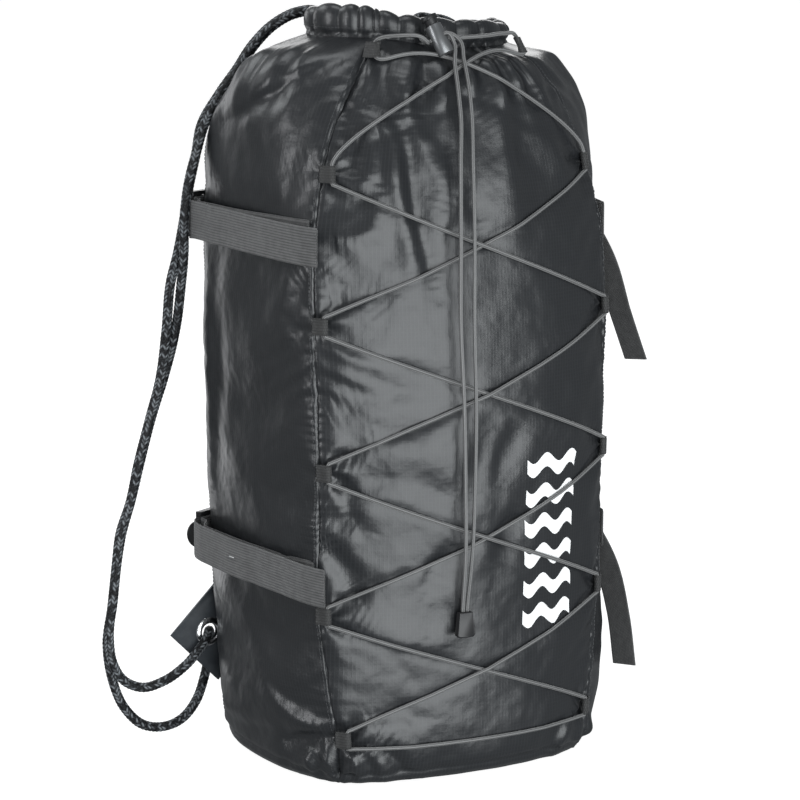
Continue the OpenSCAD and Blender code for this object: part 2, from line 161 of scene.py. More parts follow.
def wave_print(u, v):
    """A tall block of level wavy bars, as a mask over the cloth coordinates."""
    x, y = u - PRINT_MIDDLE[0], v - PRINT_MIDDLE[1]
    across = x.math("ABSOLUTE").math("LESS_THAN", PRINT_HALF[0])
    up = y.math("ABSOLUTE").math("LESS_THAN", PRINT_HALF[1])
    wave = (x * (2 * math.pi / WAVE_LENGTH)).math("SINE")
    level = (y + wave * WAVE_HEIGHT).math("DIVIDE", BAR_PITCH)
    return across * up * level.math("PINGPONG", 0.5).math("GREATER_THAN", BAR_HALF_GAP)


def ripstop(name, printed):
    """Coated charcoal nylon with a fine reinforcing grid; the front carries a print of white waves."""
    look = Look(name, (0.03, 0.033, 0.037), 0.36, Specular_IOR_Level=0.55)
    u, v = look.cloth()
    net = u.lines(RIPSTOP_PITCH, 0.2).math("MAXIMUM", v.lines(RIPSTOP_PITCH, 0.2) * 0.5)
    colour = look.mix(net, (0.0125, 0.0135, 0.0152), (0.02, 0.0215, 0.0235))
    rough = look.noise(9, 3) * 0.12 + 0.3
    if printed:
        ink = wave_print(u, v)
        colour = look.mix(ink, colour, (0.86, 0.86, 0.86))
        rough = rough + ink * 0.2
    look.give("Base Color", colour)
    look.give("Roughness", rough)
    rumples = look.bump(look.noise(15, 3), 0.011, 0.5)
    creases = look.bump(look.noise(75, 4), 0.0013, 0.4, rumples)
    look.bump(net, 0.0001, 0.3, creases)
    return look.material


def webbing(name, dark, light, pitch_along, sheen):
    """Woven tape: the ribs are in the mesh, and the weft shows as fine ticks across them."""
    look = Look(name, light, 0.62, Specular_IOR_Level=0.35, Sheen_Weight=sheen, Sheen_Roughness=0.4)
    u, v = look.cloth()
    half_drop = v.math("DIVIDE", RIB_PITCH).math("FLOOR") * 0.5
    tick = (half_drop * pitch_along + u).lines(pitch_along, 0.5)
    weave = tick * (v.lines(RIB_PITCH, 0.3) * -1.0 + 1.0)
    tone = look.noise(160, 3) * 0.5 + weave * 0.6
    look.give("Base Color", look.mix(tone.clamped(), dark, light))
    look.bump(weave, 0.0003, 0.7)
    return look.material


def rope_material():
    """Black braid with pale flecks: the mesh's tone attribute, broken up by fibres."""
    look = Look("braid", (0.03, 0.03, 0.03), 0.6, Specular_IOR_Level=0.25, Sheen_Weight=0.04)
    layer = look.tree.nodes.new("ShaderNodeAttribute")
    layer.attribute_name = "tone"
    fibre = look.noise(900, 2)
    tone = Value(look.tree, layer.outputs["Fac"]) + (fibre * 0.5 - 0.25)
    look.give("Base Color", look.mix(tone.clamped(), (0.002, 0.0022, 0.003), (0.27, 0.29, 0.31)))
    look.bump(fibre, 0.0003, 0.4)
    return look.material


def elastic_material():
    """Grey braided elastic: strands along it, ticked on a slant."""
    look = Look("elastic", (0.2, 0.2, 0.2), 0.5, Specular_IOR_Level=0.45, Sheen_Weight=0.2)
    u, v = look.cloth()
    ticks = (v * 1.2 + u).lines(0.0011, 0.5)
    tone = v.lines(0.00157, 0.5) * (ticks * 0.45 + 0.55)
    look.give("Base Color", look.mix(tone, (0.045, 0.045, 0.045), (0.24, 0.24, 0.24)))
    look.bump(tone, 0.0002, 0.6)
    return look.material


def plastic(name, colour, roughness):
    look = Look(name, colour, roughness, Specular_IOR_Level=0.5)
    look.bump(look.noise(1400, 2), 0.00004, 0.5)
    return look.material


def coated():
    """The worn coated fabric of the rope tabs."""
    look = Look("coated_tab", (0.035, 0.042, 0.05), 0.5, Specular_IOR_Level=0.5)
    look.give("Base Color", look.mix(look.noise(120, 5), (0.02, 0.025, 0.032), (0.075, 0.085, 0.095)))
    look.bump(look.noise(500, 3), 0.0002, 0.4)
    return look.material


MATERIALS = {
    "ripstop": ripstop("ripstop", False),
    "rope": rope_material(),
    "loop_webbing": webbing("loop_webbing", (0.012, 0.012, 0.012), (0.05, 0.05, 0.05), 0.0011, 0.1),
    "webbing": webbing("webbing", (0.012, 0.012, 0.0125), (0.17, 0.17, 0.17), 0.0012, 0.25),
    "elastic": elastic_material(),
    "coated_tab": coated(),
    "black_plastic": plastic("black_plastic", (0.012, 0.012, 0.013), 0.42),
    "lock_metal": Look("lock_metal", (0.2, 0.205, 0.21), 0.36, Metallic=0.8).material,
    "spring_wire": Look("spring_wire", (0.6, 0.6, 0.62), 0.3, Metallic=1.0).material,
    "nickel": Look("nickel", (0.82, 0.82, 0.83), 0.16, Metallic=1.0).material,
}
PRINTED = ripstop("printed_ripstop", True)
THREAD = Look("thread", (0.045, 0.047, 0.05), 0.6).material
PALE_THREAD = Look("pale_thread", (0.6, 0.6, 0.6), 0.6).material

# ------------------------------------------------------------------ stage
CAMERA_AZIMUTH = -27.97
CAMERA_ELEVATION = 10.01
CAMERA_DISTANCE = 2.6
CAMERA_LENS = 144.86
AIM_RIGHT = -0.0018
AIM_HEIGHT = 0.2819
ROOM_LIGHT = 0.24
FLOOR_HALF = 14.0


def make_camera():
    """The camera of the main view, low and in front on the left."""
    a, e = math.radians(CAMERA_AZIMUTH), math.radians(CAMERA_ELEVATION)
    back = Vector((math.sin(a) * math.cos(e), -math.cos(a) * math.cos(e), math.sin(e)))
    right = Vector((math.cos(a), math.sin(a), 0))
    camera = bpy.data.objects.new("camera", bpy.data.cameras.new("camera"))
    bpy.context.collection.objects.link(camera)
    camera.data.lens = CAMERA_LENS
    camera.data.sensor_width = 36
    camera.data.clip_end = 50
    camera.location = Vector((0, 0, AIM_HEIGHT)) + right * AIM_RIGHT + back * CAMERA_DISTANCE
    camera.rotation_euler = (-back).to_track_quat("-Z", "Y").to_euler()
    bpy.context.scene.camera = camera


def area_light(name, place, aim, size, power, colour):
    data = bpy.data.lights.new(name, "AREA")
    data.shape = "RECTANGLE"
    data.size, data.size_y = size
    data.energy = power
    data.color = colour
    light = bpy.data.objects.new(name, data)
    bpy.context.collection.objects.link(light)
    light.location = place
    light.visible_camera = False
    light.rotation_euler = (Vector(aim) - Vector(place)).to_track_quat("-Z", "Y").to_euler()


def make_world():
    """White to look at, and a dimmer soft grey room as a light source."""
    world = bpy.data.worlds.new("studio")
    world.use_nodes = True
    tree = world.node_tree
    seen = tree.nodes["Background"]
    seen.inputs["Color"].default_value = (1, 1, 1, 1)
    seen.inputs["Strength"].default_value = 1.0
    room = tree.nodes.new("ShaderNodeBackground")
    room.inputs["Color"].default_value = (0.93, 0.97, 1, 1)
    room.inputs["Strength"].default_value = ROOM_LIGHT
    mix = tree.nodes.new("ShaderNodeMixShader")
    ray = tree.nodes.new("ShaderNodeLightPath")
    tree.links.new(ray.outputs["Is Camera Ray"], mix.inputs["Fac"])
    tree.links.new(room.outputs[0], mix.inputs[1])
    tree.links.new(seen.outputs[0], mix.inputs[2])
    tree.links.new(mix.outputs[0], tree.nodes["World Output"].inputs["Surface"])
    bpy.context.scene.world = world
    bpy.context.scene.view_settings.view_transform = "Standard"


def make_floor():
    """A pale floor that only the camera sees."""
    corners = [(x * FLOOR_HALF, y * FLOOR_HALF, 0) for x, y in ((-1, -1), (1, -1), (1, 1), (-1, 1))]
    mesh = bpy.data.meshes.new("floor")
    mesh.from_pydata(corners, [], [(0, 1, 2, 3)])
    floor = bpy.data.objects.new("floor", mesh)
    bpy.context.collection.objects.link(floor)
    floor.location.z = -0.0005
    pale = Look("pale_floor", (0.3, 0.3, 0.3), 0.85, Emission_Color=(1, 1, 1, 1), Emission_Strength=0.93)
    mesh.materials.append(pale.material)
    floor.visible_glossy = floor.visible_diffuse = floor.visible_shadow = False


make_camera()
make_world()
make_floor()
# each light: its name, place, aim, size, power and colour, in metres and watts
for light in (
        ("front_box", (-0.05, -1.6, 0.2), (0, 0, 0.28), (1.75, 1.4), 38, (0.95, 0.985, 1)),
        ("left_fill", (-2.5, -0.1, 0.6), (0, 0, 0.3), (0.55, 1.2), 19, (0.97, 0.98, 1)),
        ("back_strip", (-0.3, 2.6, 0.25), (0, 0, 0.3), (0.7, 1.5), 6, (0.97, 0.98, 1)),
        ("left_shoulder", (-1.5, 1.7, 2.0), (-0.1, 0, 0.5), (1.5, 1.2), 20, (0.95, 0.985, 1)),
        ("back_rim", (1.1, 2.2, 1.5), (0, 0, 0.3), (1.4, 1.4), 20, (1, 1, 1)),
        ("overhead", (-0.5, -0.3, 2.4), (0, 0, 0.35), (1.2, 1.0), 14, (0.95, 0.98, 1))):
    area_light(*light)

# ------------------------------------------------------------------ the sack's outline
# pairs of (height, length): how far out the corner seams are, and how far each side bulges past them; as in
# the CAD model, but fuller under the hem and at the lower right
SEAM_FRONT_X = [(0, 106), (10, 111), (40, 113.5), (139, 127), (252, 128), (365, 130), (430, 127), (479, 117),
                (515, 104), (543, 87), (560, 74), (577, 61), (600, 56)]
SEAM_FRONT_Y = [(0, 96), (10, 101), (40, 104), (139, 98), (252, 102), (365, 100), (430, 95), (479, 88),
                (543, 78), (560, 71), (577, 60), (600, 50)]
SEAM_BACK_X = [(0, 113), (10, 118), (40, 120), (79, 122), (139, 128), (252, 132), (479, 133), (515, 124),
               (543, 105), (577, 74), (600, 58)]
SEAM_BACK_Y = [(0, 88), (10, 91), (40, 93), (139, 95), (365, 95), (479, 92), (515, 85), (543, 72), (577, 51),
               (600, 40)]
BULGE_FRONT = [(0, 21), (10, 27), (40, 28), (139, 36), (252, 40), (365, 36), (479, 34), (543, 30), (577, 23),
               (600, 10)]
BULGE_RIGHT = [(0, 24), (10, 36), (40, 46), (79, 47), (110, 42), (139, 32), (182, 16), (252, 16), (430, 16),
               (479, 33), (511, 40), (532, 43), (549, 41), (562, 40), (571, 37), (577, 29), (600, 14)]
BULGE_LEFT = [(0, 19), (10, 24), (40, 26), (79, 20), (139, 10), (430, 10), (479, 16), (515, 27), (543, 38),
              (562, 44), (571, 41), (577, 30), (600, 14)]
BULGE_BACK = [(0, 4), (10, 7), (40, 9), (139, 12), (479, 12), (543, 16), (577, 13), (600, 8)]
FRONT, RIGHT, BACK, LEFT = 0, 1, 2, 3
FULLNESS = 2.4
NECK = 577.0
HEM_ROPE_Z = 588.0
HEM_CENTRE_Y = -8.0
HEM_RADII = (78.0, 60.0)
HEM_MEAN_RADIUS = 70.0
HEM_SAG = 9.0


def at(z, table):
    """The table's second value at height z."""
    return np.interp(z, *zip(*table))


def corner(s, z):
    """Corner seam s at height z: 0 front left, 1 front right, 2 back right, 3 back left."""
    x = at(z, SEAM_FRONT_X if s < 2 else SEAM_BACK_X) * (-1 if s in (0, 3) else 1)
    y = -at(z, SEAM_FRONT_Y) if s < 2 else at(z, SEAM_BACK_Y)
    return np.array([x, y])


def wall_point(s, z, t, off=0.0):
    """Point t of the way along side s, which starts at corner s, pushed off outwards."""
    a, b = corner(s, z), corner((s + 1) % 4, z)
    d = (b - a) / np.linalg.norm(b - a)
    bulge = at(z, (BULGE_FRONT, BULGE_RIGHT, BULGE_BACK, BULGE_LEFT)[s])
    return a + (b - a) * t + np.array([d[1], -d[0]]) * ((1 - abs(2 * t - 1) ** FULLNESS) * bulge + off)


def hem_point(direction, off=0.0):
    """Point of the hem's rope line, in plan, in a direction from its centre, and the way outwards there."""
    angle = math.atan2(direction[1] / HEM_RADII[1], direction[0] / HEM_RADII[0])
    n = np.array([math.cos(angle) / HEM_RADII[0], math.sin(angle) / HEM_RADII[1]])
    p = np.array([HEM_RADII[0] * math.cos(angle), HEM_CENTRE_Y + HEM_RADII[1] * math.sin(angle)])
    return p + off * n / np.linalg.norm(n), n / np.linalg.norm(n)


def unit(v):
    v = np.asarray(v, float)
    return v / np.linalg.norm(v, axis=-1, keepdims=True)


def ease(x):
    x = np.clip(x, 0, 1)
    return x * x * (3 - 2 * x)


def bell(x, width):
    """1 where x is 0, falling smoothly away on both sides of it."""
    return np.exp(-(x / width) ** 2)


def noise(x, y, seed):
    """Smooth random values from -1 to 1, one cell to each unit of x and y."""
    table = np.random.default_rng(seed).uniform(-1, 1, (61, 67))
    x, y = np.broadcast_arrays(np.asarray(x, float), np.asarray(y, float))
    i, j = np.floor(x).astype(int), np.floor(y).astype(int)
    f, g = ease(x - i), ease(y - j)
    a = table[i % 61, j % 67] * (1 - f) + table[(i + 1) % 61, j % 67] * f
    b = table[i % 61, (j + 1) % 67] * (1 - f) + table[(i + 1) % 61, (j + 1) % 67] * f
    return a * (1 - g) + b * g


# ------------------------------------------------------------------ mesh helpers
def new_object(name, verts, faces, uv=None, smooth=True):
    """verts are in millimetres; uv has one pair for each face corner, in metres of cloth."""
    mesh = bpy.data.meshes.new(name)
    mesh.from_pydata((np.asarray(verts, float) * MM).tolist(), [], [list(f) for f in faces])
    mesh.polygons.foreach_set("use_smooth", [smooth] * len(mesh.polygons))
    if uv is not None:
        mesh.uv_layers.new(name="weave").data.foreach_set("uv", np.asarray(uv, float).ravel())
    mesh.update()
    obj = bpy.data.objects.new(name, mesh)
    bpy.context.collection.objects.link(obj)
    return obj


def grid_object(name, grid, wrap=False, uv=None, caps=False):
    """A mesh over rows and columns of points; wrap joins the last column to the first, caps close it."""
    rows, cols = grid.shape[:2]
    j, k = np.meshgrid(np.arange(rows - 1), np.arange(cols if wrap else cols - 1), indexing="ij")
    around = (k + 1) % cols
    faces = np.stack([j * cols + k, j * cols + around, (j + 1) * cols + around, (j + 1) * cols + k], -1)
    faces = faces.reshape(-1, 4).tolist()
    corners = None
    if uv is not None:
        corners = np.stack([uv[:-1, :-1], uv[:-1, 1:], uv[1:, 1:], uv[1:, :-1]], 2).reshape(-1, 2)
    verts = grid.reshape(-1, 3)
    if caps:
        first, last = rows * cols, rows * cols + 1
        verts = np.concatenate([verts, [grid[0].mean(axis=0), grid[-1].mean(axis=0)]])
        for k in range(cols):
            faces.append([(k + 1) % cols, k, first])
            faces.append([(rows - 1) * cols + k, (rows - 1) * cols + (k + 1) % cols, last])
        if corners is not None:
            corners = np.concatenate([corners, np.repeat(uv[:1, 0], 6 * cols, axis=0)])
    return new_object(name, verts, faces, corners)


def grid_normals(grid, wrap=False):
    """Unit vectors out of a grid whose rows run up and whose columns run round it."""
    up = np.gradient(grid, axis=0)
    along = np.roll(grid, -1, 1) - np.roll(grid, 1, 1) if wrap else np.gradient(grid, axis=1)
    n = np.cross(along, up)
    return n / np.maximum(np.linalg.norm(n, axis=-1, keepdims=True), 1e-9)


def spline_rows(grid, where, wrap=False):
    """Smooth samples of the grid's rows at fractional row numbers."""
    n = len(grid)
    i = np.floor(where).astype(int)
    f = (where - i).reshape([-1] + [1] * (grid.ndim - 1))

    def row(step):
        return grid[(i + step) % n] if wrap else grid[np.clip(i + step, 0, n - 1)]

    a, b, c, d = row(-1), row(0), row(1), row(2)
    return b + 0.5 * f * (c - a + f * (2 * a - 5 * b + 4 * c - d + f * (3 * (b - c) + d - a)))


def curve_through(points, step):
    """A smooth line through the points (cubics with matching slopes), cut into equal steps."""
    p = np.asarray(points, float)
    gap = np.diff(p, axis=0)
    d = np.linalg.norm(gap, axis=1)
    slope = gap / d[:, None]
    inner = (slope[:-1] * d[1:, None] + slope[1:] * d[:-1, None]) / (d[:-1] + d[1:])[:, None]
    m = np.concatenate([slope[:1], inner, slope[-1:]])
    t = np.linspace(0, 1, 16, endpoint=False)[None, :, None]
    run = d[:, None, None]
    q = (2 * t**3 - 3 * t**2 + 1) * p[:-1, None] + (t**3 - 2 * t**2 + t) * run * m[:-1, None]
    q = q + (3 * t**2 - 2 * t**3) * p[1:, None] + (t**3 - t**2) * run * m[1:, None]
    return even(np.concatenate([q.reshape(-1, p.shape[1]), p[-1:]]), step)


def lengths(path):
    """The run along the path to each of its points."""
    return np.concatenate([[0], np.cumsum(np.linalg.norm(np.diff(path, axis=0), axis=1))])


def even(path, step):
    """The path cut again into equal steps."""
    s = lengths(path)
    want = np.linspace(0, s[-1], max(2, int(round(s[-1] / step)) + 1))
    return np.stack([np.interp(want, s, path[:, i]) for i in range(path.shape[1])], axis=1)


def carried_frames(path, hint):
    """Two directions across a path, at each of its points, that turn as little as they can."""
    t = unit(np.gradient(path, axis=0))
    u = np.empty_like(path)
    carried = np.asarray(hint, float)
    for i in range(len(path)):
        carried = carried - (carried @ t[i]) * t[i]
        carried = carried / np.linalg.norm(carried)
        u[i] = carried
    return u, np.cross(t, u)


def tube(name, path, radius, sides, hint=(0.3, 0.9, 0.2)):
    """A closed round tube; radius is a number or a function of the run along it and the angle around it."""
    u, v = carried_frames(path, hint)
    run, angle = np.meshgrid(lengths(path), np.arange(sides) * 2 * math.pi / sides, indexing="ij")
    r = radius(run, angle) if callable(radius) else np.full_like(run, radius)
    out = np.cos(angle)[..., None] * u[:, None] + np.sin(angle)[..., None] * v[:, None]
    grid = path[:, None] + r[..., None] * out
    turn = np.arange(sides + 1) * 2 * math.pi / sides * float(np.mean(r)) * MM
    uv = np.stack(np.meshgrid(lengths(path) * MM, turn, indexing="ij"), -1)
    return grid_object(name, grid, wrap=True, uv=uv, caps=True)


def ribbon(name, path, widths, width, thickness, ribs=14, steps=4):
    """Ribbed webbing along a path; widths is the direction of its width at each point."""
    t = unit(np.gradient(path, axis=0))
    w = unit(widths - (widths * t).sum(axis=1, keepdims=True) * t)
    n = np.cross(t, w)
    x = np.linspace(-0.5, 0.5, ribs * steps + 1)
    rib = 0.78 + 0.22 * np.abs(np.sin(math.pi * ribs * (x + 0.5)))
    h = thickness / 2 * rib * np.clip(1.4 - 2.2 * np.maximum(np.abs(x) - 0.42, 0) * 8, 0.45, 1)
    across = np.concatenate([x, x[::-1]]) * width
    height = np.concatenate([h, -h[::-1]])
    grid = path[:, None] + across[None, :, None] * w[:, None] - height[None, :, None] * n[:, None]
    side = np.concatenate([across, across[:1]]) * MM
    uv = np.stack(np.meshgrid(lengths(path) * MM, side, indexing="ij"), -1)
    return grid_object(name, grid[:, ::-1], wrap=True, uv=uv[:, ::-1], caps=True)


def cad_copy(name, node):
    """A new object with its own copy of a CAD piece's mesh."""
    obj = bpy.data.objects.new(name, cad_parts[node].data.copy())
    bpy.context.collection.objects.link(obj)
    return obj


def soften(name, node, width, motion, slot):
    """A copy of a CAD piece with rounded edges, in its place."""
    obj = cad_copy(name, node)
    weld = obj.modifiers.new("weld", "WELD")
    weld.merge_threshold = 0.00002
    flat = obj.modifiers.new("flat", "DECIMATE")
    flat.decimate_type = "DISSOLVE"
    flat.angle_limit = math.radians(1)
    bevel = obj.modifiers.new("bevel", "BEVEL")
    bevel.width = width * MM
    bevel.segments = 2
    bevel.limit_method = "ANGLE"
    bevel.angle_limit = math.radians(40)
    bevel.harden_normals = True
    deps = bpy.context.evaluated_depsgraph_get()
    obj.data = bpy.data.meshes.new_from_object(obj.evaluated_get(deps))
    obj.modifiers.clear()
    obj.data.polygons.foreach_set("use_smooth", [True] * len(obj.data.polygons))
    obj.data.set_sharp_from_angle(angle=math.radians(35))
    return finish_piece(obj, slot, motion, node)


def finish_piece(obj, slot, motion, *nodes, material=None):
    """Gives a piece its material and hides the CAD nodes it stands for; motion is a body, which the piece is
    attached to, or what to blend, for which the mesh is only set in place.
    """
    obj.data.materials.clear()
    obj.data.materials.append(material or MATERIALS[slot])
    if isinstance(motion, str):
        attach(obj, motion)
    else:
        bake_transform(obj)
    if nodes:
        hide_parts(*nodes)
    return obj


# ------------------------------------------------------------------ the cloth of the sack
# cells along each side and rows up the wall, pleats on each side, and how much slack the cloth is cut with
SIDE_CELLS = (54, 40, 54, 40)
RING = sum(SIDE_CELLS)
BASE_Z = 2.0
LEVELS = 116
PLEATS = (7, 5, 6, 5)
LOOP_Z = (570.0, 479.0, 365.0, 252.0, 139.0, 40.0)
STRAP_Z = [(LEFT, 430.0), (LEFT, 166.0), (RIGHT, 430.0), (RIGHT, 182.0)]
SLACK = 1.026
LENGTHWAYS_SLACK = 1.006
SETTLE_STEPS = 34


def side_lengths(z):
    """How long each side of the sack's outline is at height z."""
    outline = np.array([[wall_point(s, z, t) for t in np.linspace(0, 1, 24)] for s in range(4)])
    return np.array([np.linalg.norm(np.diff(p, axis=0), axis=1).sum() for p in outline])


def gathered(s, z, t, girths, cut, phase):
    """A wall point with the cloth that is cut wider than the outline here taken up in pleats."""
    extra = max(cut[s] / girths[s] - 1, 0)
    gather = ease((z - 470) / 90)
    tall = girths[s] / PLEATS[s] / math.pi * math.sqrt(extra) * gather * (0.4 if s == LEFT else 0.85)
    drift = 0.1 * (phase[s][0] * math.sin(math.pi * t) + phase[s][1] * math.sin(2 * math.pi * t))
    narrow = math.sin(2 * math.pi * PLEATS[s] * (t + drift) + 3 * phase[s][2])
    broad = math.sin(math.pi * PLEATS[s] * (t + drift) + 5 * phase[s][2])
    edge = min(1, 7 * t, 7 * (1 - t))
    share = ease((z - 500) / 70)
    off = tall * edge * (share * narrow + 0.9 * (1 - share) * broad) * (1 - 0.45 * ease((z - 555) / 20))
    p = wall_point(s, z, t, off)
    inward = ease((z - 570) / (NECK + 1 - 570))
    if inward > 0:
        q = hem_point(p - np.array([0, HEM_CENTRE_Y]), 4.2 + 0.7 * off)[0]
        p = p * (1 - inward) + q * inward
    return p


def cloth_sides():
    """The side each column of the cloth is on, and how far along it."""
    return [(s, i / n) for s, n in enumerate(SIDE_CELLS) for i in range(n)]


def cloth_shapes():
    """The rows' heights, the wall as it starts, its cut shape, and the cut widths and heights of the rows."""
    heights = np.linspace(BASE_Z, NECK + 1, LEVELS)
    full = side_lengths(400.0)
    phase = np.random.default_rng(11).uniform(-1, 1, (4, 3))
    start, rest = np.zeros((LEVELS, RING, 3)), np.zeros((LEVELS, RING, 3))
    widths = np.zeros((LEVELS, 4))
    for j, z in enumerate(heights):
        girths = side_lengths(z)
        grown = ease((z - 380) / 80)
        widths[j] = np.maximum(girths, full * grown + girths * (1 - grown))
        for k, (s, t) in enumerate(cloth_sides()):
            start[j, k, :2] = gathered(s, z, t, girths, widths[j], phase)
            start[j, k, 2] = z
    steps = np.median(np.linalg.norm(np.diff(start, axis=0), axis=2), axis=1)
    rise = np.concatenate([[0], np.cumsum(steps)]) * LENGTHWAYS_SLACK
    for j in range(LEVELS):
        w = widths[j] * SLACK
        x, y = (w[0] + w[2]) / 4, (w[1] + w[3]) / 4
        box = np.array([[-x, -y], [x, -y], [x, y], [-x, y]])
        for k, (s, t) in enumerate(cloth_sides()):
            rest[j, k, :2] = box[s] + (box[(s + 1) % 4] - box[s]) * t
            rest[j, k, 2] = rise[j]
    return heights, start, rest, widths, rise


def hold_weights(heights):
    """How firmly each point is held: hem and base fully, lacing loops and strapped bands partly."""
    held = np.zeros((LEVELS, RING))
    held[0] = held[-1] = 1
    for k, (s, t) in enumerate(cloth_sides()):
        after_seam = s in (FRONT, RIGHT) and t < 0.015
        before_seam = (s == FRONT and t > 0.985) or (s == LEFT and t > 0.98)
        for z in LOOP_Z:
            if after_seam or before_seam:
                held[np.abs(heights - z) < 5, k] = 0.95
        for side, z in STRAP_Z:
            if s == side:
                held[np.abs(heights - z) < 13, k] = 0.55
    return held


def settle(heights, start, rest):
    """The wall as cloth: pressed outwards from inside and held where it is sewn, until it is still."""
    # the base is closed with held rings, so that the pressure has a volume to act in
    rings = [0.96, 0.8, 0.55, 0.3]
    base = [start[0] * (f, f, 1) - (0, 0, 1) for f in rings] + [np.array([[0, 0, 1.0]])]
    cut = [rest[0] * (f, f, 1) for f in rings] + [np.array([[0, 0, 0.0]])]
    verts = np.concatenate([start.reshape(-1, 3)] + base)
    count = LEVELS * RING
    around = np.arange(RING)
    on = (around + 1) % RING
    faces = []
    for j in range(LEVELS - 1):
        a = j * RING
        faces += np.stack([a + around, a + on, a + RING + on, a + RING + around], -1).tolist()
    inner = 0
    for r in range(len(rings)):
        here = count + r * RING
        faces += np.stack([inner + on, inner + around, here + around, here + on], -1).tolist()
        inner = here
    middle = np.full(RING, count + len(rings) * RING)
    faces += np.stack([inner + on, inner + around, middle], -1).tolist()
    obj = new_object("settling", verts, faces)
    obj.shape_key_add(name="Basis")
    key = obj.shape_key_add(name="cut")
    key.data.foreach_set("co", (np.concatenate([rest.reshape(-1, 3)] + cut) * MM).ravel())
    key.value = 0
    group = obj.vertex_groups.new(name="held")
    held = np.concatenate([hold_weights(heights).ravel(), np.ones(len(verts) - count)])
    for weight in np.unique(held[held > 0]):
        group.add(np.nonzero(held == weight)[0].tolist(), float(weight), "REPLACE")
    cloth = obj.modifiers.new("cloth", "CLOTH")
    settings = cloth.settings
    settings.quality = 6
    settings.mass = 0.2
    settings.air_damping = 1
    settings.tension_stiffness = settings.compression_stiffness = 25
    settings.shear_stiffness = 8
    settings.bending_stiffness = 0.12
    settings.tension_damping = settings.compression_damping = 3
    settings.shear_damping = 3
    settings.bending_damping = 0.6
    settings.vertex_group_mass = "held"
    settings.pin_stiffness = 1.2
    settings.rest_shape_key = key
    settings.use_pressure = True
    settings.uniform_pressure_force = 5
    settings.effector_weights.gravity = 0
    cloth.collision_settings.use_collision = False
    cloth.point_cache.frame_start, cloth.point_cache.frame_end = 1, SETTLE_STEPS
    for step in range(1, SETTLE_STEPS + 1):
        bpy.context.scene.frame_set(step)
    deps = bpy.context.evaluated_depsgraph_get()
    settled = bpy.data.meshes.new_from_object(obj.evaluated_get(deps))
    out = np.empty(len(settled.vertices) * 3, dtype=np.float32)
    settled.vertices.foreach_get("co", out)
    bpy.data.meshes.remove(settled)
    bpy.data.objects.remove(obj, do_unlink=True)
    bpy.context.scene.frame_set(1)
    return out.reshape(-1, 3)[:count].reshape(LEVELS, RING, 3).astype(float) / MM


# ------------------------------------------------------------------ fine shape of the sack's wall
FINE = 3
EVENING_PASSES = 3


def fine_columns():
    """Where the fine columns lie in the cloth grid, closest near the seams; their sides and their shares."""
    where, side, share = [], [], []
    first = 0
    for s, n in enumerate(SIDE_CELLS):
        u = np.arange(n * FINE) / (n * FINE)
        t = u - 0.75 * np.sin(2 * math.pi * u) / (2 * math.pi)
        where.append(first + t * n)
        side.append(np.full(n * FINE, s))
        share.append(t)
        first += n
    return np.concatenate(where), np.concatenate(side), np.concatenate(share)


def seam_detail(z, dist, seam):
    """Push outwards beside a seam: a stitched groove, close puckers and short slanting folds."""
    near = np.abs(dist)
    deep, close, wide = (1.0, 0.6, 1.6) if seam < 2 else (0.9, 0.35, 0.9)
    out = -deep * bell(dist, 1.1) + 0.12 * bell(near - 4.0, 2.5)
    wave = z / 9.5 + 1.6 * noise(z / 38, 0.3 * seam, 21 + seam)
    uneven = 0.55 + 0.45 * noise(z / 30, np.where(dist > 0, 0.0, 7.0), 31 + seam)
    out += close * np.exp(-near / 8) * np.sin(2 * math.pi * wave + np.where(dist > 0, 0.0, 1.9)) * uneven
    slant = np.sin(2 * math.pi * (z + 0.8 * near) / 26 + 4 * noise(z / 60, 0, 41 + seam))
    return out + wide * np.exp(-near / 26) * (1 - np.exp(-near / 5)) * slant * noise(z / 45, 5, 51 + seam)


def loop_detail(z, inward, row):
    """Folds that fan out from a lacing loop, stronger on the front than on the side."""
    level = LOOP_Z[row]
    r = np.hypot(inward - 4, z - level)
    turn = np.arctan2(z - level, inward - 4)
    folds = np.cos(5 * turn + 2.5 * noise(r / 22, row, 61 + row)) * np.exp(-r / 36) * (1 - np.exp(-r / 7))
    return np.where(inward > 0, 2.1, 0.9) * folds - 1.6 * bell(r, 8)


def crease(x, z, line, height, sharp, soft):
    """A fold along a line of (x, z) points: steep on one side, gentle on the other, fading at its ends."""
    out = np.zeros_like(x)
    points = curve_through(line, 6.0)
    share = lengths(points) / lengths(points)[-1]
    best = np.full(x.shape, 1e9)
    for a, b, f in zip(points[:-1], points[1:], share):
        d = b - a
        t = np.clip(((x - a[0]) * d[0] + (z - a[1]) * d[1]) / (d @ d), 0, 1)
        px, pz = x - a[0] - t * d[0], z - a[1] - t * d[1]
        dist = np.hypot(px, pz)
        side = np.sign(px * d[1] - pz * d[0])
        fade = math.sin(math.pi * min(max(f, 0.02), 0.98)) ** 0.7
        value = 0.9 * height * fade * bell(dist, np.where(side > 0, 1.25 * sharp, 1.25 * soft))
        closer = dist < best
        out = np.where(closer, value, out)
        best = np.minimum(best, dist)
    return out


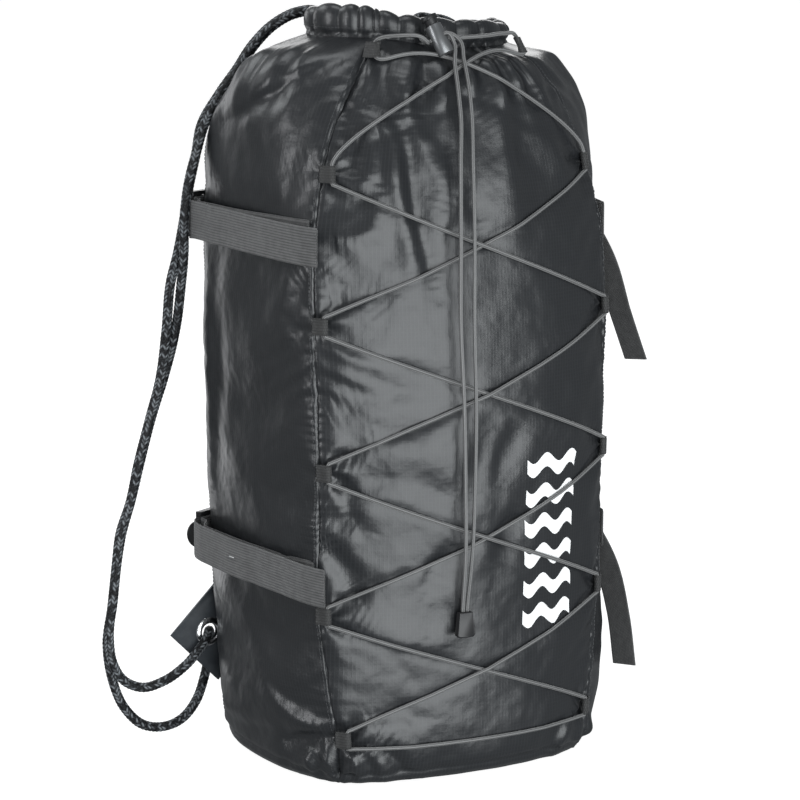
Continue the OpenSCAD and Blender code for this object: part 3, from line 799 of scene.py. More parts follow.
# each crease: its line over the side, its height (inwards if negative), and its two half widths
FRONT_CREASES = [
    ([(-84, 566), (-94, 535), (-98, 508)], -5.0, 5, 7),
    ([(-78, 540), (-92, 500), (-99, 470)], -3.0, 6, 10),
    ([(-104, 462), (-91, 470), (-86, 489), (-74, 517), (-66, 505), (-66, 474), (-62, 437), (-56, 392)],
     5.0, 6, 7),
    ([(-52, 558), (-50, 526), (-41, 496), (-33, 470), (-41, 444)], 4.6, 6, 9),
    ([(-62, 535), (-57, 489), (-54, 451), (-47, 421), (-41, 386)], -4.2, 6, 7),
    ([(-36, 552), (-41, 530), (-43, 514)], -5.0, 7, 7),
    ([(4, 545), (14, 525), (26, 500), (30, 460), (30, 425)], 4.0, 13, 10),
    ([(46, 548), (44, 510), (48, 470), (46, 440)], -2.6, 9, 12),
    ([(-16, 468), (-6, 448), (-2, 428)], -3.0, 5, 8),
    ([(-40, 428), (-27, 446), (-16, 462)], 2.6, 5, 7),
    ([(-78, 476), (-81, 452), (-90, 434), (-118, 429)], 3.4, 6, 9),
    ([(-124, 414), (-107, 397), (-80, 389)], -2.4, 6, 11),
    ([(-124, 384), (-98, 384), (-82, 368)], -2.2, 6, 11),
    ([(66, 545), (72, 505), (84, 468)], 2.8, 7, 11),
    ([(84, 540), (90, 505), (104, 478)], -2.2, 6, 9),
    ([(-127, 296), (-99, 308), (-55, 317), (-20, 320)], -3.8, 10, 14),
    ([(-100, 280), (-70, 286), (-40, 295), (-22, 308)], -3.2, 8, 12),
    ([(-120, 259), (-92, 250), (-60, 243), (-24, 226)], -4.1, 9, 13),
    ([(-126, 249), (-113, 239), (-105, 218)], -3.5, 4, 7),
    ([(-131, 220), (-119, 215), (-98, 206)], -2.6, 5, 9),
    ([(-131, 202), (-118, 184), (-102, 157)], -4.6, 5, 9),
    ([(-24, 196), (-38, 181), (-47, 162)], -3.2, 6, 10),
    ([(32, 290), (16, 263), (8, 228)], -4.1, 8, 12),
    ([(34, 222), (18, 195), (8, 168)], -3.8, 7, 12),
    ([(-16, 212), (-8, 256), (4, 284)], -3.2, 8, 10),
    ([(118, 372), (84, 350), (50, 338)], 2.9, 7, 14),
    ([(116, 262), (84, 272), (56, 284)], 2.9, 7, 12),
    ([(114, 128), (80, 112), (40, 106)], 2.9, 7, 14),
    ([(-110, 134), (-84, 122), (-44, 114)], 3.2, 6, 12),
    ([(-98, 36), (-84, 24), (-76, 6)], 4.9, 4, 7),
    ([(-92, 42), (-70, 30), (-52, 10)], 3.5, 5, 9),
    ([(100, 38), (86, 26), (78, 6)], 4.9, 4, 7),
    ([(-104, 34), (-98, 18), (-94, 4)], 5.0, 3, 5),
    ([(-86, 38), (-70, 24), (-58, 8)], -4.0, 4, 7),
    ([(-96, 50), (-74, 58), (-50, 54)], -2.6, 5, 9),
]
LEFT_CREASES = [
    ([(50, 508), (15, 517), (-16, 530), (-44, 547), (-66, 566)], -4.2, 3.5, 8),
    ([(50, 524), (20, 538), (-14, 552), (-46, 568)], 4.0, 16, 13),
    ([(72, 514), (50, 539), (12, 560), (-24, 574)], 3.0, 4, 6),
    ([(74, 488), (57, 516), (36, 532)], 1.8, 4, 7),
    ([(-66, 430), (-74, 390), (-80, 340)], 1.8, 8, 9),
    ([(66, 420), (70, 350), (64, 280), (68, 200)], 3.4, 10, 16),
    ([(44, 400), (40, 330), (48, 250)], -2.4, 12, 16),
    ([(-96, 412), (-72, 392), (-60, 366), (-84, 344)], 3.2, 8, 14),
    ([(-94, 326), (-64, 300), (-20, 288), (30, 296)], -3.0, 9, 20),
    ([(52, 252), (10, 240), (-40, 210), (-88, 196)], 3.0, 16, 26),
    ([(60, 150), (20, 128), (-30, 96), (-80, 82)], 3.2, 10, 24),
    ([(50, 110), (10, 84), (-40, 64)], -2.6, 10, 18),
    ([(60, 470), (20, 462), (-30, 470), (-80, 494)], 3.0, 14, 20),
    ([(80, 28), (20, 24), (-40, 34), (-88, 40)], -3.6, 6, 14),
    ([(70, 62), (10, 60), (-50, 50), (-90, 42)], 2.6, 8, 16),
    ([(-50, 4), (-76, 20), (-94, 34)], 3.6, 4, 8),
    ([(-20, 230), (-60, 226), (-92, 246)], -1.8, 8, 14),
    ([(-30, 330), (-66, 338), (-94, 362)], -1.8, 8, 14),
    ([(-10, 112), (-56, 116), (-92, 136)], -2.0, 8, 14),
    ([(-46, 26), (-76, 36), (-98, 42)], -4.4, 4, 7),
    ([(-20, 78), (-62, 56), (-98, 44)], 4.0, 5, 9),
    ([(-84, 34), (-82, 18), (-80, 4)], 4.4, 3, 5),
]


def hem_drop(x):
    """How far the hem sags: not at all at the left end, fully from the middle to the right."""
    return HEM_SAG * ease((np.asarray(x, float) + 60) / 70)


def base_corner(z, dist, seam):
    """The foot of a corner seam: fanned folds, and in front a pulled-in loop over a bulging, split corner."""
    out = np.zeros_like(dist)
    if seam < 2:
        out += 5.0 * bell(np.abs(dist) - 7, 7) * bell(z - 17, 10) - 3.5 * bell(dist, 9) * bell(z - 40, 9)
        out -= 3.0 * bell(dist, 3.5) * bell(z - 18, 12)
    base = np.hypot(dist, z - 6)
    turn = np.arctan2(z - 6, dist)
    return out + 1.8 * np.cos(7 * turn + seam) * np.exp(-base / 24) * (1 - np.exp(-base / 6))


def lace_groove(x, z, a, b):
    """The shallow groove that a tight line of lacing presses into the cloth, from a to b."""
    d = b - a
    t = np.clip(((x - a[0]) * d[0] + (z - a[1]) * d[1]) / (d @ d), 0, 1)
    dist = np.hypot(x - a[0] - t * d[0], z - a[1] - t * d[1])
    return -0.9 * bell(dist, 4.5)


def fine_wall(wall, heights, widths, rise):
    """The settled wall on a finer grid, with its seams and folds.

    Also the side and the share of each column, the height of each row, and each point's place in the cloth.
    """
    where, side, share = fine_columns()
    rows = np.arange((LEVELS - 1) * FINE + 1) / FINE
    even_wall = wall.copy()
    for _ in range(EVENING_PASSES):
        even_wall[1:-1] = (even_wall[:-2] + 2 * even_wall[1:-1] + even_wall[2:]) / 4
    grid = spline_rows(even_wall, rows)
    grid = spline_rows(grid.transpose(1, 0, 2), where, wrap=True).transpose(1, 0, 2)
    z = np.interp(rows, np.arange(LEVELS), heights)[:, None] + 0 * share[None, :]
    wide = np.stack([np.interp(rows, np.arange(LEVELS), widths[:, s]) for s in range(4)], axis=1)
    along = share[None, :] * wide[:, side]
    out = 1.3 * noise(along / 60 + 3 * side, z / 42, 71) + 0.5 * noise(along / 23 + 5 * side, z / 19, 72)
    out += 1.1 * ease((z - 430) / 60) * noise(along / 15 + 7 * side, z / 110, 73)
    for seam in range(4):
        dist = np.full(z.shape, 999.0)
        after, before = side == seam, side == (seam - 1) % 4
        dist[:, after] = along[:, after]
        dist[:, before] = along[:, before] - wide[:, [(seam - 1) % 4]]
        out += np.where(np.abs(dist) < 200, seam_detail(z, dist, seam), 0)
        if seam < 2:
            inward = dist if seam == 0 else -dist
            for row in range(len(LOOP_Z)):
                out += np.where(np.abs(dist) < 150, loop_detail(z, inward, row), 0)
        out += base_corner(z, dist, seam)
    out += 1.5 * bell(z - 6.0, 2.0) - 1.3 * bell(z - 10.5, 2.0)
    for s, axis, creases in ((FRONT, 0, FRONT_CREASES), (LEFT, 1, LEFT_CREASES)):
        on = side == s
        for line, height, sharp, soft in creases:
            out[:, on] += crease(grid[:, on, axis], z[:, on], line, height, sharp, soft)
    front = side == FRONT
    for over, under in zip(LOOP_Z[:-1], LOOP_Z[1:]):
        for s in (-1, 1):
            a = np.array([s * at(over, SEAM_FRONT_X), over - 8])
            b = np.array([-s * at(under, SEAM_FRONT_X), under + 8])
            out[:, front] += lace_groove(grid[:, front, 0], z[:, front], a, b)
    fade = ease((NECK + 2 - z) / 14) * (0.25 + 0.75 * ease(z / 12))
    grid = grid + grid_normals(grid, wrap=True) * (out * fade)[..., None]
    sag = hem_drop(grid[..., 0]) * ease((grid[..., 2] - 556) / 22)
    grid[..., 2] = np.maximum(grid[..., 2] - sag, 1.0)
    starts = np.concatenate([np.zeros((len(rows), 1)), np.cumsum(wide, axis=1)], axis=1) - wide[:, :1] / 2
    u = np.concatenate([starts[:, side] + along, starts[:, 4:]], axis=1)
    v = np.interp(rows, np.arange(LEVELS), rise)[:, None] + 0 * u
    return grid, side, share, z[:, 0], np.stack([u, v], -1) * MM


def make_bottom(ring):
    """The base panel, from the wall's lowest edge in to the middle."""
    rows = []
    for f in (1.0, 0.985, 0.95, 0.9, 0.8, 0.65, 0.45, 0.25):
        sag = 0.5 * noise(ring[:, 0] * f / 30, ring[:, 1] * f / 30, 81)
        level = 0.9 + (ring[:, 2] - 0.9) * ease((f - 0.93) / 0.07) + np.maximum(sag, -0.4) * (f < 0.95)
        rows.append(np.stack([ring[:, 0] * f, ring[:, 1] * f, level], axis=1))
    grid = np.array(rows)[::-1][:, ::-1]
    uv = np.concatenate([grid[..., :2], grid[:, :1, :2]], axis=1) * MM
    return grid_object("base_panel", grid, wrap=True, uv=uv)


def make_hem(top):
    """The puffy drawstring channel, as points and as an object: folded over the rope, with an uneven rim."""
    # the channel's section, as (outwards, up) from its rope
    section = [(3.4, -10.0), (3.6, -8.6), (3.5, -7.4), (4.8, -4.8), (5.7, -1.5), (5.8, 2.0), (4.7, 5.2),
               (2.2, 7.4), (-0.6, 8.2), (-3.4, 7.0), (-5.2, 3.5), (-5.8, -0.5), (-5.0, -5.0), (-4.4, -9.0),
               (-4.6, -12.0)]
    profile = curve_through(section, 1.5)
    run = lengths(profile)
    plan = top[:, :2]
    turn = np.unwrap(np.arctan2(plan[:, 1] - HEM_CENTRE_Y, plan[:, 0]))
    phase = 20 * (turn - turn[0]) / (2 * math.pi) + 0.5 * np.sin(turn * 3 + 1)
    puff = 2 * np.abs(np.sin(math.pi * (phase + 0.45 * noise(phase * 0.7, 0, 91)))) ** 0.7 - 1
    tall, lean = noise(phase + 3, 2, 92), noise(phase * 0.8, 9, 93)
    mid = [hem_point(p - (0, HEM_CENTRE_Y)) for p in plan]
    q, n = np.array([m[0] for m in mid]), np.array([m[1] for m in mid])
    own = ((plan - q) * n).sum(axis=1)
    grid = np.zeros((len(profile), len(top), 3))
    for j, (r, h) in enumerate(profile):
        joined = 1 - ease(run[j] / 4.0)
        out = r * (1 + 0.1 * puff) + 0.8 * (puff - 0.3) + 0.8 * lean * (h + 11) / 22
        out = out * (1 - joined) + own * joined
        grid[j, :, :2] = q + n * out[:, None]
        raised = 4.0 * bell(np.cos(turn / 2 - 0.1), 0.35) + 1.5 - 3.5 * ease(np.sin(turn) * 2)
        raised = raised - 4.0 * bell(np.sin(turn / 2), 0.4)
        grid[j, :, 2] = HEM_ROPE_Z + h + (1.9 * tall + 1.4 * puff + raised) * ease((h + 4) / 12)
    grid[..., 2] -= hem_drop(grid[..., 0])
    u = np.concatenate([turn, [turn[0] + 2 * math.pi]]) * HEM_MEAN_RADIUS * MM
    uv = np.stack(np.meshgrid(u, run * MM), -1)
    return grid, grid_object("drawstring_channel", grid, wrap=True, uv=uv)


def dashes(name, seams, pitch, length, thick, lift=0.15):
    """Thread stitches: short rods along seams, which are pairs of points and normals."""
    verts, faces = [], []
    for points, normals in seams:
        s = lengths(points)
        for middle in np.arange(pitch / 2, s[-1], pitch):
            ends = [middle - length / 2, middle + length / 2]
            a, b = (np.array([np.interp(e, s, points[:, i]) for i in range(3)]) for e in ends)
            n = unit([np.interp(middle, s, normals[:, i]) for i in range(3)])
            w = unit(np.cross(b - a, n)) * thick / 2
            low, high = n * (lift - thick / 2), n * (lift + thick / 2)
            base = len(verts)
            for p in (a, b):
                verts += [p + low - w, p + low + w, p + high + w * 0.6, p + high - w * 0.6]
            faces += [(base, base + 1, base + 2, base + 3), (base + 5, base + 4, base + 7, base + 6),
                      (base + 1, base + 5, base + 6, base + 2), (base + 4, base, base + 3, base + 7),
                      (base + 3, base + 2, base + 6, base + 7), (base, base + 4, base + 5, base + 1)]
    return new_object(name, verts, faces, smooth=False)


heights, start, rest, widths, rise = cloth_shapes()
settled = settle(heights, start, rest)
wall, wall_side, wall_share, wall_z, wall_uv = fine_wall(settled, heights, widths, rise)
wall_normals = grid_normals(wall, wrap=True)
skin = grid_object("sack_wall", wall, wrap=True, uv=wall_uv)
skin_tree = BVHTree.FromPolygons([Vector(v * MM) for v in wall.reshape(-1, 3)],
                                 [tuple(p.vertices) for p in skin.data.polygons])
finish_piece(skin, "ripstop", FOLD, "front_panel", "left_side_panel", "right_side_panel", "back_panel",
             material=PRINTED)
finish_piece(make_bottom(wall[0]), "ripstop", FOLD, "bottom_panel")
hem_grid, hem = make_hem(wall[-1])
finish_piece(hem, "ripstop", FOLD, "drawstring_hem")


def wall_line(s, t):
    """Points and normals of the wall up a line a share t along side s, from the base to the hem."""
    near = np.argmin(np.abs(wall_share - t) + 10.0 * (wall_side != s))
    rows = (wall_z >= SEAM_LOW) & (wall_z <= SEAM_HIGH)
    return wall[rows, near], wall_normals[rows, near]


SEAM_LOW, SEAM_HIGH = 12.0, 566.0
SIDE_STITCH = 3.2 / 197
STITCHED = ((LEFT, 1 - SIDE_STITCH), (FRONT, 1 - 0.4 / 270), (RIGHT, SIDE_STITCH), (LEFT, SIDE_STITCH),
            (RIGHT, 1 - SIDE_STITCH), (BACK, 3.2 / 260))
seam_lines = [wall_line(s, t) for s, t in STITCHED]
hem_row = int(np.argmin(np.abs(hem_grid[:12, :, 2].mean(axis=1) - (HEM_ROPE_Z - 7.6))))
hem_loop = np.concatenate([hem_grid[hem_row], hem_grid[hem_row, :1]])
hem_out = grid_normals(hem_grid, wrap=True)[hem_row]
seam_lines.append((hem_loop, np.concatenate([hem_out, hem_out[:1]])))
stitches = dashes("seam_stitches", seam_lines, 3.1, 2.1, 0.45)
finish_piece(stitches, "ripstop", FOLD, material=THREAD)


# ------------------------------------------------------------------ lying on the wall
def wall_under(p, outward):
    """Where a straight line from well outside meets the wall, coming in at p against outward."""
    o = Vector((np.asarray(p) + np.asarray(outward) * 60) * MM)
    hit = skin_tree.ray_cast(o, Vector(-np.asarray(outward)), 0.2)[0]
    return np.asarray(p, float) if hit is None else np.array(hit) / MM


TIGHTENING_ROUNDS = 260


def pulled_tight(points, outward, clearance, ends):
    """A line pulled tight over the wall, but never closer than the clearance, between given end heights."""
    outward = unit(np.broadcast_to(outward, (len(points), 3)))
    floor = np.array([wall_under(p, n) for p, n in zip(points, outward)])
    lift = np.broadcast_to(clearance, (len(points),)).astype(float)
    height = np.maximum(((points - floor) * outward).sum(axis=1), lift)
    for index, end in zip((0, -1), ends):
        height[index] = height[index] if end is None else end
    for _ in range(TIGHTENING_ROUNDS):
        p = floor + outward * height[:, None]
        middle = (p[:-2] + p[2:]) / 2
        height[1:-1] = np.maximum(((middle - floor[1:-1]) * outward[1:-1]).sum(axis=1), lift[1:-1])
    return floor + outward * height[:, None]


# ------------------------------------------------------------------ lacing
# the loops' height, how far in and out of the seam they sit, the elastic's radius and its bow at the top
LOOP_H = 13.0
LOOP_REACH = 9.0
LOOP_OUT = 4.3
ELASTIC_R = 1.5
TOP_BOW = 33.0


def loop_axes(s, z):
    """At the front seam on side s (-1 left, 1 right): towards the front's middle, outwards, and up it."""
    a = math.atan(2 * at(z, BULGE_FRONT) / at(z, SEAM_FRONT_X))
    inward = np.array([-s * math.cos(a), -math.sin(a), 0])
    outward = np.array([s * math.sin(a), -math.cos(a), 0])
    lean = unit([0.3 * s * (at(z + 6, SEAM_FRONT_X) - at(z - 6, SEAM_FRONT_X)),
                 at(z - 6, SEAM_FRONT_Y) - at(z + 6, SEAM_FRONT_Y), 12])
    return inward, outward, lean


def loop_centre(s, z):
    """The middle of a lacing loop, lifted clear of the wall."""
    inward, outward, lean = loop_axes(s, z)
    seam = np.array([s * at(z, SEAM_FRONT_X), -at(z, SEAM_FRONT_Y), z])
    c = seam + inward * LOOP_REACH + outward * LOOP_OUT
    over = min((c + k * lean - wall_under(c + k * lean, outward)) @ outward for k in (-6, 0, 6))
    return c + outward * max(3.6 - over, 0)


def make_loops(s, node):
    """Six folded strips of ribbed tape, sewn into the front seam and open at top and bottom."""
    pieces = []
    for row, z in enumerate(LOOP_Z):
        inward, outward, lean = loop_axes(s, z)
        c = loop_centre(s, z)
        outline = [(-9.4, -3.4), (-6.0, -3.0), (-3.0, -2.7)]
        outline += [(2.3 * math.cos(a), 2.3 * math.sin(a)) for a in np.radians([-70, -35, 0, 35, 70, 105])]
        outline += [(-3.2, 0.9), (-6.0, -1.0), (-9.4, -2.2)]
        path = curve_through([c + inward * x + outward * y for x, y in outline], 0.8)
        tilt = lean * (1 + 0.03 * math.sin(row * 2.1)) + inward * 0.03 * math.sin(row * 3.7)
        widths = np.tile(tilt, (len(path), 1))
        pieces.append(ribbon("loop_%d" % row, path, widths, LOOP_H, 0.9, ribs=6, steps=3))
    return join(pieces, node + "_tape")


def join(pieces, name):
    """Makes one object of several."""
    with bpy.context.temp_override(active_object=pieces[0], object=pieces[0], selected_objects=pieces,
                                   selected_editable_objects=pieces):
        bpy.ops.object.join()
    pieces[0].name = pieces[0].data.name = name
    return pieces[0]


for s, node in ((-1, "lacing_loops_left"), (1, "lacing_loops_right")):
    finish_piece(make_loops(s, node), "loop_webbing", FOLD, node)

# the cord lock: its middle, the line its button slides on, and the direction of its cord holes
LOCK_MID = np.array([-18.0, -93.0, 579.0])
LOCK_AXIS = unit([-0.28, 0.42, 0.86])
HOLE_DIR = unit(np.cross([0.55, 0.8, 0], LOCK_AXIS))
HOLE_SIDE = np.cross(LOCK_AXIS, HOLE_DIR)


def hole_at(along, across):
    """A point in or near the cord lock's holes: along them and to one side."""
    return LOCK_MID + HOLE_DIR * along + HOLE_SIDE * across


def loop_end(s, row, up):
    """A point in a lacing loop, from its lower mouth (up is -1) to its upper mouth (1)."""
    lean = loop_axes(s, LOOP_Z[row])[2]
    return loop_centre(s, LOOP_Z[row]) + up * (LOOP_H / 2 + 0.6) * lean


def lace_run(a, b, hump, bow=0.0):
    """The elastic from one loop end to the next: hump lifts it at the crossing, bow arches it upwards."""
    shares = np.linspace(0, 1, 80)
    across = lengths(np.array([wall_point(FRONT, (a[2] + b[2]) / 2, t) for t in shares]))
    half = [at(p[2], SEAM_FRONT_X) for p in (a, b)]
    ends = np.interp([(a[0] / half[0] + 1) / 2, (b[0] / half[1] + 1) / 2], shares, across)
    f = np.linspace(0, 1, 64)[1:-1]
    t = np.interp(ends[0] + (ends[1] - ends[0]) * f, across, shares)
    down = f if a[2] > b[2] else 1 - f
    z = a[2] + (b[2] - a[2]) * f + bow * (4 * f * (1 - f)) ** (1.5 - 0.9 * down)
    wide = (2 * t - 1) * (half[0] + (half[1] - half[0]) * f)
    base = np.array([wall_under((x, -150.0, h), (0, -1, 0)) for x, h in zip(wide, z)])
    start, end = (base[0] - a)[1] + 1.0, (base[-1] - b)[1] + 1.0
    lift = ELASTIC_R + 0.25 + hump * bell((f - 0.5) * np.linalg.norm(b - a), 9)
    return pulled_tight(base, (0, -1, 0), lift, ends=(max(start, 2.0), max(end, 2.0)))


def lacing_path():
    """Down one diagonal family, across the bottom, and back up the other, over the first."""
    start = (hole_at(-8.4, -1.8), (-32, -90.5, 580), (-45, -84.5, 581), loop_end(-1, 0, 1),
             loop_end(-1, 0, -1))
    end = ((45, -84.5, 580), (25, -88.5, 579), (2, -87, 578), (-15, -84.5, 577), (-27, -84.5, 577),
           (-30, -86.5, 578.5), hole_at(-8.4, 1.8))
    through = np.array([-1, -0.6, 0.6, 1])
    bottom = len(LOOP_Z) - 1
    parts = [start]
    s = -1
    for row in range(bottom):
        parts.append(lace_run(loop_end(s, row, -1), loop_end(-s, row + 1, 1), 0.0, 0.0 if row else TOP_BOW))
        s = -s
        parts.append([loop_end(s, row + 1, -up) for up in through])
    parts.append(lace_run(loop_end(s, bottom, -1), loop_end(-s, bottom, -1), 0.0))
    s = -s
    parts.append([loop_end(s, bottom, up) for up in through])
    for row in reversed(range(bottom)):
        parts.append(lace_run(loop_end(s, row + 1, 1), loop_end(-s, row, -1), 3.3, 0.0 if row else TOP_BOW))
        s = -s
        parts.append([loop_end(s, row, up) for up in through])
    parts.append(end)
    return np.concatenate([np.asarray(p, float) for p in parts])


def cord_surface(run, angle):
    """The elastic's radius: a round cord with eight shallow ridges."""
    return ELASTIC_R * (1 + 0.05 * np.cos(8 * angle))


lace = curve_through(lacing_path(), 2.2)
lacing = tube("elastic_lacing", lace, cord_surface, 16, (0.2, -0.9, 0.3))
finish_piece(lacing, "elastic", FOLD, "lacing_elastic")

# the two free ends, from inside the cord lock down to the end clip
TAIL_LONG = [hole_at(-7, -1.8), hole_at(0, -1.8), hole_at(8, -1.8), (-8, -100, 574), (-11, -106, 562),
             (-15, -119, 540), (-17, -127, 518), (-21, -134, 490), (-25, -142, 430), (-27, -146, 365),
             (-26, -150, 300), (-25, -150.5, 240), (-24, -149.5, 190), (-23, -143, 140)]
TAIL_SHORT = [hole_at(-7, 1.8), hole_at(0, 1.8), hole_at(8, 1.8), (-3, -99, 577), (-3, -106, 562),
              (-6, -120, 540), (-8, -128, 518), (-11, -135, 490), (-14, -143.5, 430), (-16, -147.5, 365),
              (-16, -150.5, 300), (-17, -151, 240), (-18, -149.5, 190), (-19.5, -143, 140)]
clip = soften("tail_clip", "cord_end_clip", 0.8, "sack", "black_plastic")
for name, points, node in (("long_tail", TAIL_LONG, "elastic_tail_long"),
                           ("short_tail", TAIL_SHORT, "elastic_tail_short")):
    line = curve_through(points, 1.6)
    tail = finish_piece(tube(name, line, cord_surface, 16), "elastic", "sack", node)
soften("cord_lock_body", "cord_lock_barrel", 0.6, "sack", "lock_metal")
soften("cord_lock_cap", "cord_lock_plunger", 0.5, "button", "black_plastic")

# ------------------------------------------------------------------ ropes
# the left rope loop: from the hem down to the eyelet, through it, and back up to the hem
ROPE_ROUTE = [
    (-36, 46, 588), (-39, 54, 591), (-48, 60, 594), (-62, 64, 592), (-80, 68, 583), (-96, 73, 567),
    (-108, 79, 547), (-122, 83, 527), (-137, 84.5, 503), (-142, 84, 481), (-148, 84, 457), (-153, 84, 429),
    (-158, 87, 400), (-163, 89, 379), (-167, 91, 337), (-174, 90, 296), (-181, 90, 273), (-193, 91, 231),
    (-200, 92, 200), (-209, 92, 176), (-213, 92, 149), (-217, 92, 118), (-220, 93, 90), (-217, 93, 68),
    (-206, 94, 51), (-190, 94, 44), (-172, 94, 47), (-152, 94, 58), (-139, 96, 69), (-130, 100, 77),
    (-125.5, 106, 81), (-122, 112, 80), (-119, 117, 73), (-118, 120, 62), (-120, 121, 50), (-125, 118, 37),
    (-134, 114, 21), (-148, 110, 9), (-167, 106, 5), (-187, 104, 10), (-203, 103, 26), (-214, 102, 52),
    (-218, 102, 84), (-213, 101, 115), (-209, 101, 147), (-204, 101, 173), (-196, 101, 198),
    (-188, 100, 229), (-176, 99, 271), (-166, 98, 300), (-159, 91, 337), (-156, 84, 379), (-156, 79, 401),
    (-157, 75, 430), (-153, 75, 458), (-146, 75, 482), (-139, 74, 504), (-125, 71, 529), (-112, 69, 546),
    (-100, 62, 567), (-84, 58, 583), (-69, 54, 591), (-58, 50, 593), (-50, 45, 591), (-48, 39, 588)]
# the braid: columns of strands around it, sides of its mesh, and how far apart strands are
ROPE_COLUMNS = 8
ROPE_SIDES = 40
STRAND = 3.4


def braid(run, angle):
    """Which way the strands of this column lean, where each point is on its strand, and across the column."""
    turn = angle * ROPE_COLUMNS / (2 * math.pi) + 0.15 * np.sin(run / 37)
    column = np.floor(turn)
    x = turn - column - 0.5
    lean = np.where(column % 2 == 0, 1.0, -1.0)
    return column, run / STRAND + lean * 0.95 * x, x


def braid_surface(run, angle):
    place, x = braid(run, angle)[1:]
    strand = np.abs(np.sin(math.pi * place)) ** 0.6
    return 3.45 + 0.62 * strand * (1 - 0.75 * (2 * np.abs(x)) ** 3) + 0.07 * noise(run / 9, angle * 2, 95)


def make_rope(name, mirror, node):
    """A rope loop of braided strands, a few of them pale; mirror is -1 for the right side."""
    route = np.array(ROPE_ROUTE, float) * (mirror, 1, 1)
    route[:, 2] -= hem_drop(route[:, 0]) * ease((route[:, 2] - 535) / 40)
    line = curve_through(route, 0.62)
    rope = tube(name, line, braid_surface, ROPE_SIDES)
    turn = np.arange(ROPE_SIDES) * 2 * math.pi / ROPE_SIDES
    run, angle = np.meshgrid(lengths(line), turn, indexing="ij")
    column, place, x = braid(run, angle)
    strand = np.floor(place) + 31 * (column % ROPE_COLUMNS)
    shade = np.random.default_rng(5).uniform(0, 1, 4096)[(strand * 7).astype(int) % 4096]
    tone = np.where(shade > 0.55, 0.85, np.where(shade > 0.4, 0.3, 0.02))
    tone = tone * np.sin(math.pi * place) ** 2 * (1 - (2 * np.abs(x)) ** 3)
    layer = rope.data.attributes.new("tone", "FLOAT", "POINT")
    layer.data.foreach_set("value", np.concatenate([tone.ravel(), [0.1, 0.1]]).astype(np.float32))
    finish_piece(rope, "rope", "back", node)


make_rope("braided_rope_left", 1, "rope_left")
make_rope("braided_rope_right", -1, "rope_right")

# ------------------------------------------------------------------ straps
LOCK_TURN = math.radians(60)
# the bend through a ladder lock, as (forwards, outwards), and how far back a strap's run is one piece before
# its end is split off
LOCK_BEND = [(10.4, -1.9), (9.3, -0.4), (9.3, 2.4), (10.4, 3.6), (15.8, 3.6), (17.3, 2.6), (17.9, 0.6),
             (19, -0.5), (24, -0.5), (27, -0.4)]
STRAP_BEND_Y = 46.0
WEB_W = 30.0
WEB_T = 1.4
UP = np.array([0, 0, 1.0])


def lock_spot(z, u, v):
    """A point of the left ladder lock in plan: u from its anchor bar forwards, v outwards."""
    o = np.array([-at(z, SEAM_BACK_X) + 12.8, at(z, SEAM_BACK_Y) + 13.6])
    d = np.array([-math.sin(LOCK_TURN), -math.cos(LOCK_TURN)])
    n = np.array([-math.cos(LOCK_TURN), math.sin(LOCK_TURN)])
    p = o + d * u + n * v
    return np.array([p[0], p[1], z])


def left_wall(z, t, off):
    """A point off the left side, a share t along it."""
    return np.append(wall_point(LEFT, z, t, off), z)


def left_outwards(z):
    """Straight out of the left side at height z."""
    a, b = wall_point(LEFT, z, 0.03), wall_point(LEFT, z, 0.97)
    return unit([b[1] - a[1], a[0] - b[0], 0])


def mirrored(points, side):
    """The points as they are on the left (side is 1), or on the right (-1)."""
    return np.asarray(points, float) * (side, 1, 1)


def upright_ribbon(name, path):
    """Webbing that stands on its edge."""
    return ribbon(name, path, np.tile(UP, (len(path), 1)), WEB_W, WEB_T)


def strap(place, side, z, hang):
    """One compression strap: its run from the front seam, the bend through the lock, and the loose tail."""
    along = mirrored([left_wall(z, t, 12) for t in np.linspace(0.985, 0.16, 34)], side)
    outwards = mirrored(left_outwards(z), side)
    run = pulled_tight(along, outwards, 1.0, ends=(0.9 if side > 0 else 2.8, None))
    run[:, 2] = z
    into = [left_wall(z, 0.05, 5.2)] + [lock_spot(z, *p) for p in ((25, -2.6), (13, -2.2), (10.4, -1.9))]
    whole = even(curve_through(np.concatenate([run, mirrored(into, side)]), 1.0), 2.4)
    whole[:, 2] += 0.5 * noise(lengths(whole) / 45, z / 50, 97)
    split = int(np.argmax(whole[:, 1] > STRAP_BEND_Y))
    near = whole[split:]
    front_run = upright_ribbon("strap_run_" + place, whole[:split + 1])
    near_run = upright_ribbon("strap_end_" + place, near)
    turn = mirrored([lock_spot(z, *p) for p in LOCK_BEND], side)
    if hang:
        tail, tail_widths = mirrored(hang, side), mirrored(HANGING_WIDTHS, side)
    else:
        tail = lying_tail(z, run)
        tail_widths = np.tile(UP, (len(tail), 1))
    full = np.concatenate([turn, tail])
    line = curve_through(full, 1.6)
    known = np.concatenate([np.tile(UP, (len(turn), 1)), tail_widths])
    key = lengths(full) / lengths(full)[-1]
    share = lengths(line) / lengths(line)[-1]
    widths = np.stack([np.interp(share, key, known[:, i]) for i in range(3)], axis=1)
    loose = ribbon("strap_tail_" + place, line, widths, WEB_W, WEB_T)
    lock = "lock_" + place
    if place == "lower_left":
        stray_stitch(line, lock)
    finish_piece(front_run, "webbing", FOLD, "strap_" + place)
    finish_piece(near_run, "webbing", ("back", lock, near[0] * MM, near[-1] * MM), "strap_" + place)
    finish_piece(loose, "webbing", lock, "strap_" + place)


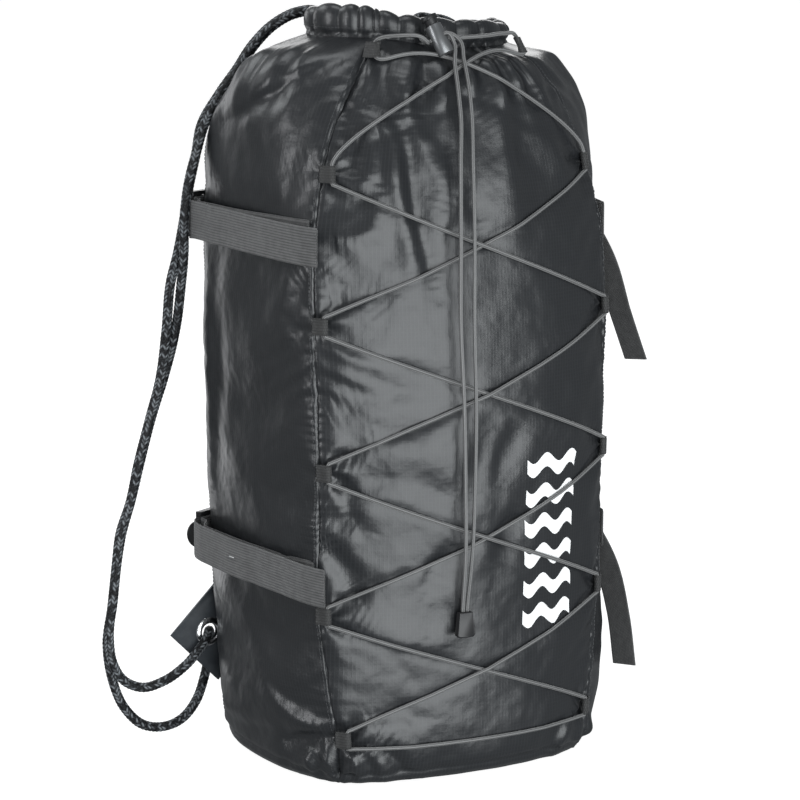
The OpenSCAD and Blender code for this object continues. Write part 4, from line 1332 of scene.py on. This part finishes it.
def stray_stitch(line, body):
    """A short pale stitch that shows on a tail."""
    middle = int(0.46 * len(line))
    points = line[middle - 3:middle + 4]
    out = unit(np.cross(points[-1] - points[0], UP))
    out = out * (1 if out[0] < 0 else -1)
    points = points + out * WEB_T / 2 + 0.5 * UP
    seam = (points, np.tile(out, (len(points), 1)))
    finish_piece(dashes("stray_stitch", [seam], lengths(points)[-1], 7.0, 0.7, 0.3), "webbing", body,
                 material=PALE_THREAD)


def lying_tail(z, run):
    """A left tail: forwards over the strap's run to a little past the front seam, the upper one drooping."""
    upper = z > 300
    shares = np.linspace(0.1, 0.985, 24)
    out = left_outwards(z)
    low = (2.8 if upper else -1.0) * ease(np.linspace(0.05, 0.9, 24))
    points = np.array([left_wall(z - d, t, 14) for t, d in zip(shares, low)])
    lift = 3.3 + 3.2 * (1 - ease(np.linspace(0, 1, 24) * 2.2))
    line = pulled_tight(points, out, lift, ends=(8.0, None))
    order = np.argsort(run[:, 1])
    least = np.interp(line[:, 1], run[order, 1], (run @ out)[order]) + 2.3
    least = np.maximum(least, line @ out)
    height = least.copy()
    for _ in range(200):
        height[1:-1] = np.maximum((height[:-2] + height[2:]) / 2, least[1:-1])
    waves = 1.5 * (1 + noise(lengths(line) / 21, z, 98)) * np.sin(np.linspace(0, math.pi, len(line)))
    line = line + out * (height + waves - line @ out)[:, None]
    forward = unit(line[-1] - line[-4])
    past = 26.0 if upper else 33.0
    beyond = [line[-1] + forward * past * f - out * 0.14 * past * f * f for f in (0.35, 0.7, 1.0)]
    return np.concatenate([line[1:], beyond])


# the right tails, drawn on the left: their routes, and the direction of their width at each point
HANGING_UPPER = [(-145, 70, 430), (-147, 48, 430), (-150, 24, 429), (-153, 0, 425), (-156, -26, 413),
                 (-161, -46, 390), (-170, -56, 352), (-184, -60, 310)]
HANGING_LOWER = [(-142, 70, 182), (-145, 48, 182), (-149, 24, 181), (-153, 0, 177), (-158, -28, 164),
                 (-164, -50, 138), (-168, -63, 100), (-171, -69, 57)]
HANGING_WIDTHS = [(0, 0, 1), (0, 0, 1), (0, -0.1, 1), (0, -0.35, 0.94), (-0.1, -0.7, 0.7),
                  (-0.15, -0.93, 0.35), (-0.12, -0.99, 0), (-0.12, -0.99, 0)]
STRAPS = [("upper_left", 1, 430.0, None), ("lower_left", 1, 166.0, None),
          ("upper_right", -1, 430.0, HANGING_UPPER), ("lower_right", -1, 182.0, HANGING_LOWER)]
for place, side, z, hang in STRAPS:
    strap(place, side, z, hang)
for place, *_ in STRAPS:
    soften("buckle_" + place, "ladder_lock_" + place, 0.5, "lock_" + place, "black_plastic")
    soften("anchor_tape_" + place, "anchor_" + place, 0.25, "back", "webbing")
for place in ("left", "right"):
    soften("tab_" + place, "rope_tab_" + place, 0.5, "back", "coated_tab")
    soften("ring_" + place, "eyelet_" + place, 0.2, "back", "nickel")
    soften("ring_back_" + place, "eyelet_washer_" + place, 0.2, "back", "nickel")
# the rope in the hem sags with it, and the lock's spring is a copy of the CAD spring, set in place
inner = soften("rope_in_channel", "rope_in_hem", 0.05, FOLD, "rope")
for v in inner.data.vertices:
    v.co.z -= float(hem_drop(v.co.x / MM)) * MM
squash = ("sack", "button", (LOCK_MID - 12.5 * LOCK_AXIS) * MM, (LOCK_MID - 5.1 * LOCK_AXIS) * MM)
finish_piece(cad_copy("lock_spring", "cord_lock_spring"), "spring_wire", squash, "cord_lock_spring")
